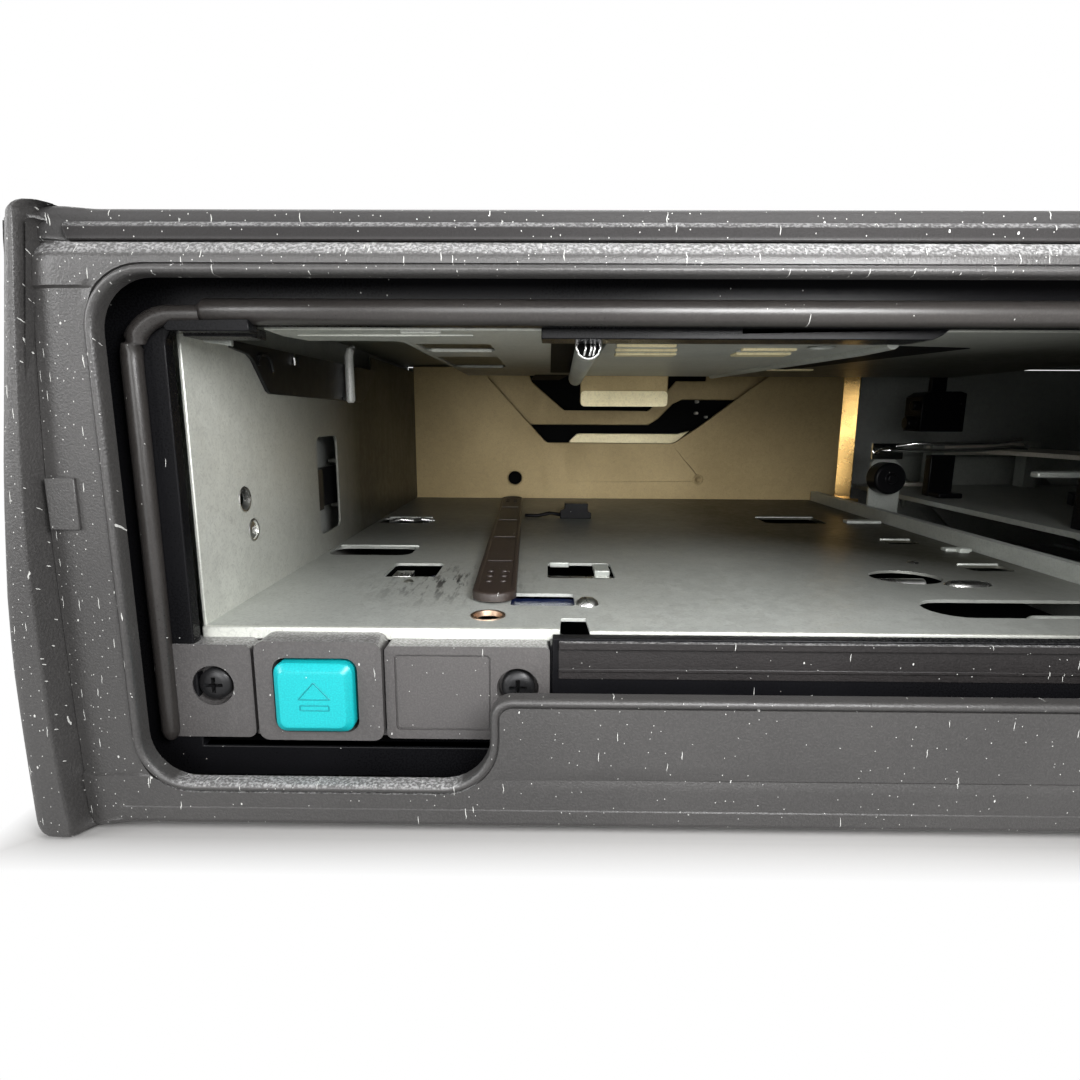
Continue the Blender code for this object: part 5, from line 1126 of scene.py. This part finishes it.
def makeOutside():
    beads = Form()
    for places in outside["beads"]:
        start, end = (Vector((*place, outside["coverTop"])) for place in places)
        run = (end - start).normalized() * 2.0
        beads.tube([start, start + run, end - run, end], [0.8, 2.6, 2.6, 0.8], 16, flat=0.26)
    beads.piece("coverBeads", "zinc_steel", coverZinc, angle=60)
    # the cross recesses of the case screws are only painted: thin black boxes as painted shade
    cross = Form()
    for name in outside["screws"]:
        low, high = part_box("case_screw_" + name)
        centre = (low + high) / 2
        end = (high.x if centre.x > 0 else low.x) / mm + halfWide
        deep, up = centre.y / mm + barPlace, centre.z / mm
        for long, tall in ((1.2, 0.24), (0.24, 1.2)):
            cross.box((end - 0.03, deep - long, up - tall), (end + 0.03, deep + long, up + tall))
    cross.piece("caseScrewCrossShade", "dark_steel", shadowBlack)
    pins = Form()
    for turn in (math.radians(45 * step + 22.5) for step in range(8)):
        across, up = outside["socket"][0] + 4.4 * math.cos(turn), outside["socket"][1] + 4.4 * math.sin(turn)
        pins.rod((across, 162.4, up), (across, 166.6, up), 0.5, 12)
    pins.piece("socketPins", "bright_steel", angle=50)
    for name, width in outside["rounded"].items():
        roundEdges(nodes[name], width)


makeInner()
print("inner moulding made")
makePanel()
makeButton()
print("panel, screws and button made")
makeFloor()
makeStrip()
makeLeftWall()
makeRoof()
makeRearWall()
print("bay made")
makeMechanism()
makeOutside()
print("mechanism and outside made")


# stage, lamps and camera, in metres
studio = {
    "reach": 3.0,
    "shadowHalf": (0.140, 0.084),
    "seenWhite": 1.0,
    "unseenWhite": 0.24,
    "lamps": {
        "overLamp": {"place": (-0.09, 0.12, 0.62), "aim": (-0.07, -0.03, 0.03), "size": 0.55, "power": 2.9},
        "frontLamp": {"place": (-0.14, -0.62, 0.22), "aim": (-0.07, 0.0, 0.03), "size": 0.4, "power": 3.0},
        "sideLamp": {"place": (-0.46, -0.26, 0.18), "aim": (-0.14, -0.08, 0.035), "size": 0.22, "power": 1.3},
        "bayLamp": {"place": (-0.030, -0.155, 0.088), "aim": (-0.11, -0.02, 0.04), "size": 0.05,
                    "power": 0.22},
    },
    "view": {"place": (-0.0792, -0.15367, 0.0498), "left": 0.6, "down": 10.6, "roll": 0.3, "lens": 21.67},
}


def makeGround():
    # white paper to the camera, with a painted contact shadow close to the case
    paper = bpy.data.meshes.new("floor")
    paper.from_pydata([(*corner, -0.0001) for corner in sharpBox(*(side * studio["reach"]
                                                                   for side in (-1, -1, 1, 1)))],
                      [], [(0, 1, 2, 3)])
    placed("floor", paper)
    look = Look("floorPaper", roughness=0.9)
    look.paint("Base Color", (0.36, 0.355, 0.35))
    rays = look.node("ShaderNodeLightPath", output="Is Camera Ray")
    beside = [look.node("ShaderNodeMath", {0: look.part(look.place, index)}, operation="ABSOLUTE") - half
              for index, half in enumerate(studio["shadowHalf"])]
    glow = look.node("ShaderNodeEmission", {"Color": (1.0, 1.0, 1.0), "Strength": 1.0})
    # painted contact shadow: the paper glows less near the case's footprint, so it is darker there
    share = (look.most(*beside) * 160.0 + 0.05).held() * (rays * 0.4 + 0.6)
    mixed = look.node("ShaderNodeMixShader", {0: share, 1: Sock(look, look.shader.outputs[0]), 2: glow})
    look.feed(look.tree.nodes["Material Output"].inputs["Surface"], mixed)
    paper.materials.append(look.material)


def makeWorld():
    # white where the camera, a reflection or a clear part looks at it, dim as a light
    world = bpy.data.worlds.new("studio")
    bpy.context.scene.world = world
    world.use_nodes = True
    sky = Graph(world.node_tree)
    camera, glossy, clear = (sky.node("ShaderNodeLightPath", output=output)
                             for output in ("Is Camera Ray", "Is Glossy Ray", "Is Transmission Ray"))
    seen = sky.most(sky.most(camera, glossy), clear)
    back = sky.tree.nodes["Background"]
    sky.feed(back.inputs["Color"], (1.0, 1.0, 1.0))
    sky.feed(back.inputs["Strength"],
             seen * (studio["seenWhite"] - studio["unseenWhite"]) + studio["unseenWhite"])


def makeLamps():
    for name, row in studio["lamps"].items():
        lamp = bpy.data.lights.new(name, "AREA")
        lamp.size = row["size"]
        lamp.energy = row["power"]
        thing = placed(name, lamp)
        thing.location = row["place"]
        heading = Vector(row["aim"]) - Vector(row["place"])
        thing.rotation_euler = heading.to_track_quat("-Z", "Y").to_euler()


def makeCamera():
    view = studio["view"]
    yaw, pitch, roll = (math.radians(view[name]) for name in ("left", "down", "roll"))
    ahead = Vector((-math.sin(yaw) * math.cos(pitch), math.cos(yaw) * math.cos(pitch), -math.sin(pitch)))
    right = Vector((math.cos(yaw), math.sin(yaw), 0))
    up = right.cross(ahead)
    leaned = right * math.cos(roll) + up * math.sin(roll)
    raised = up * math.cos(roll) - right * math.sin(roll)
    data = bpy.data.cameras.new("camera")
    data.lens = view["lens"]
    data.sensor_width = 36.0
    data.clip_start = 0.005
    thing = placed("camera", data)
    turn = Matrix((leaned, raised, -ahead)).transposed().to_4x4()
    thing.matrix_world = Matrix.Translation(view["place"]) @ turn
    bpy.context.scene.camera = thing
    bpy.context.scene.view_settings.view_transform = "Standard"


makeGround()
makeWorld()
makeLamps()
makeCamera()
print("stage, lamps and camera made")
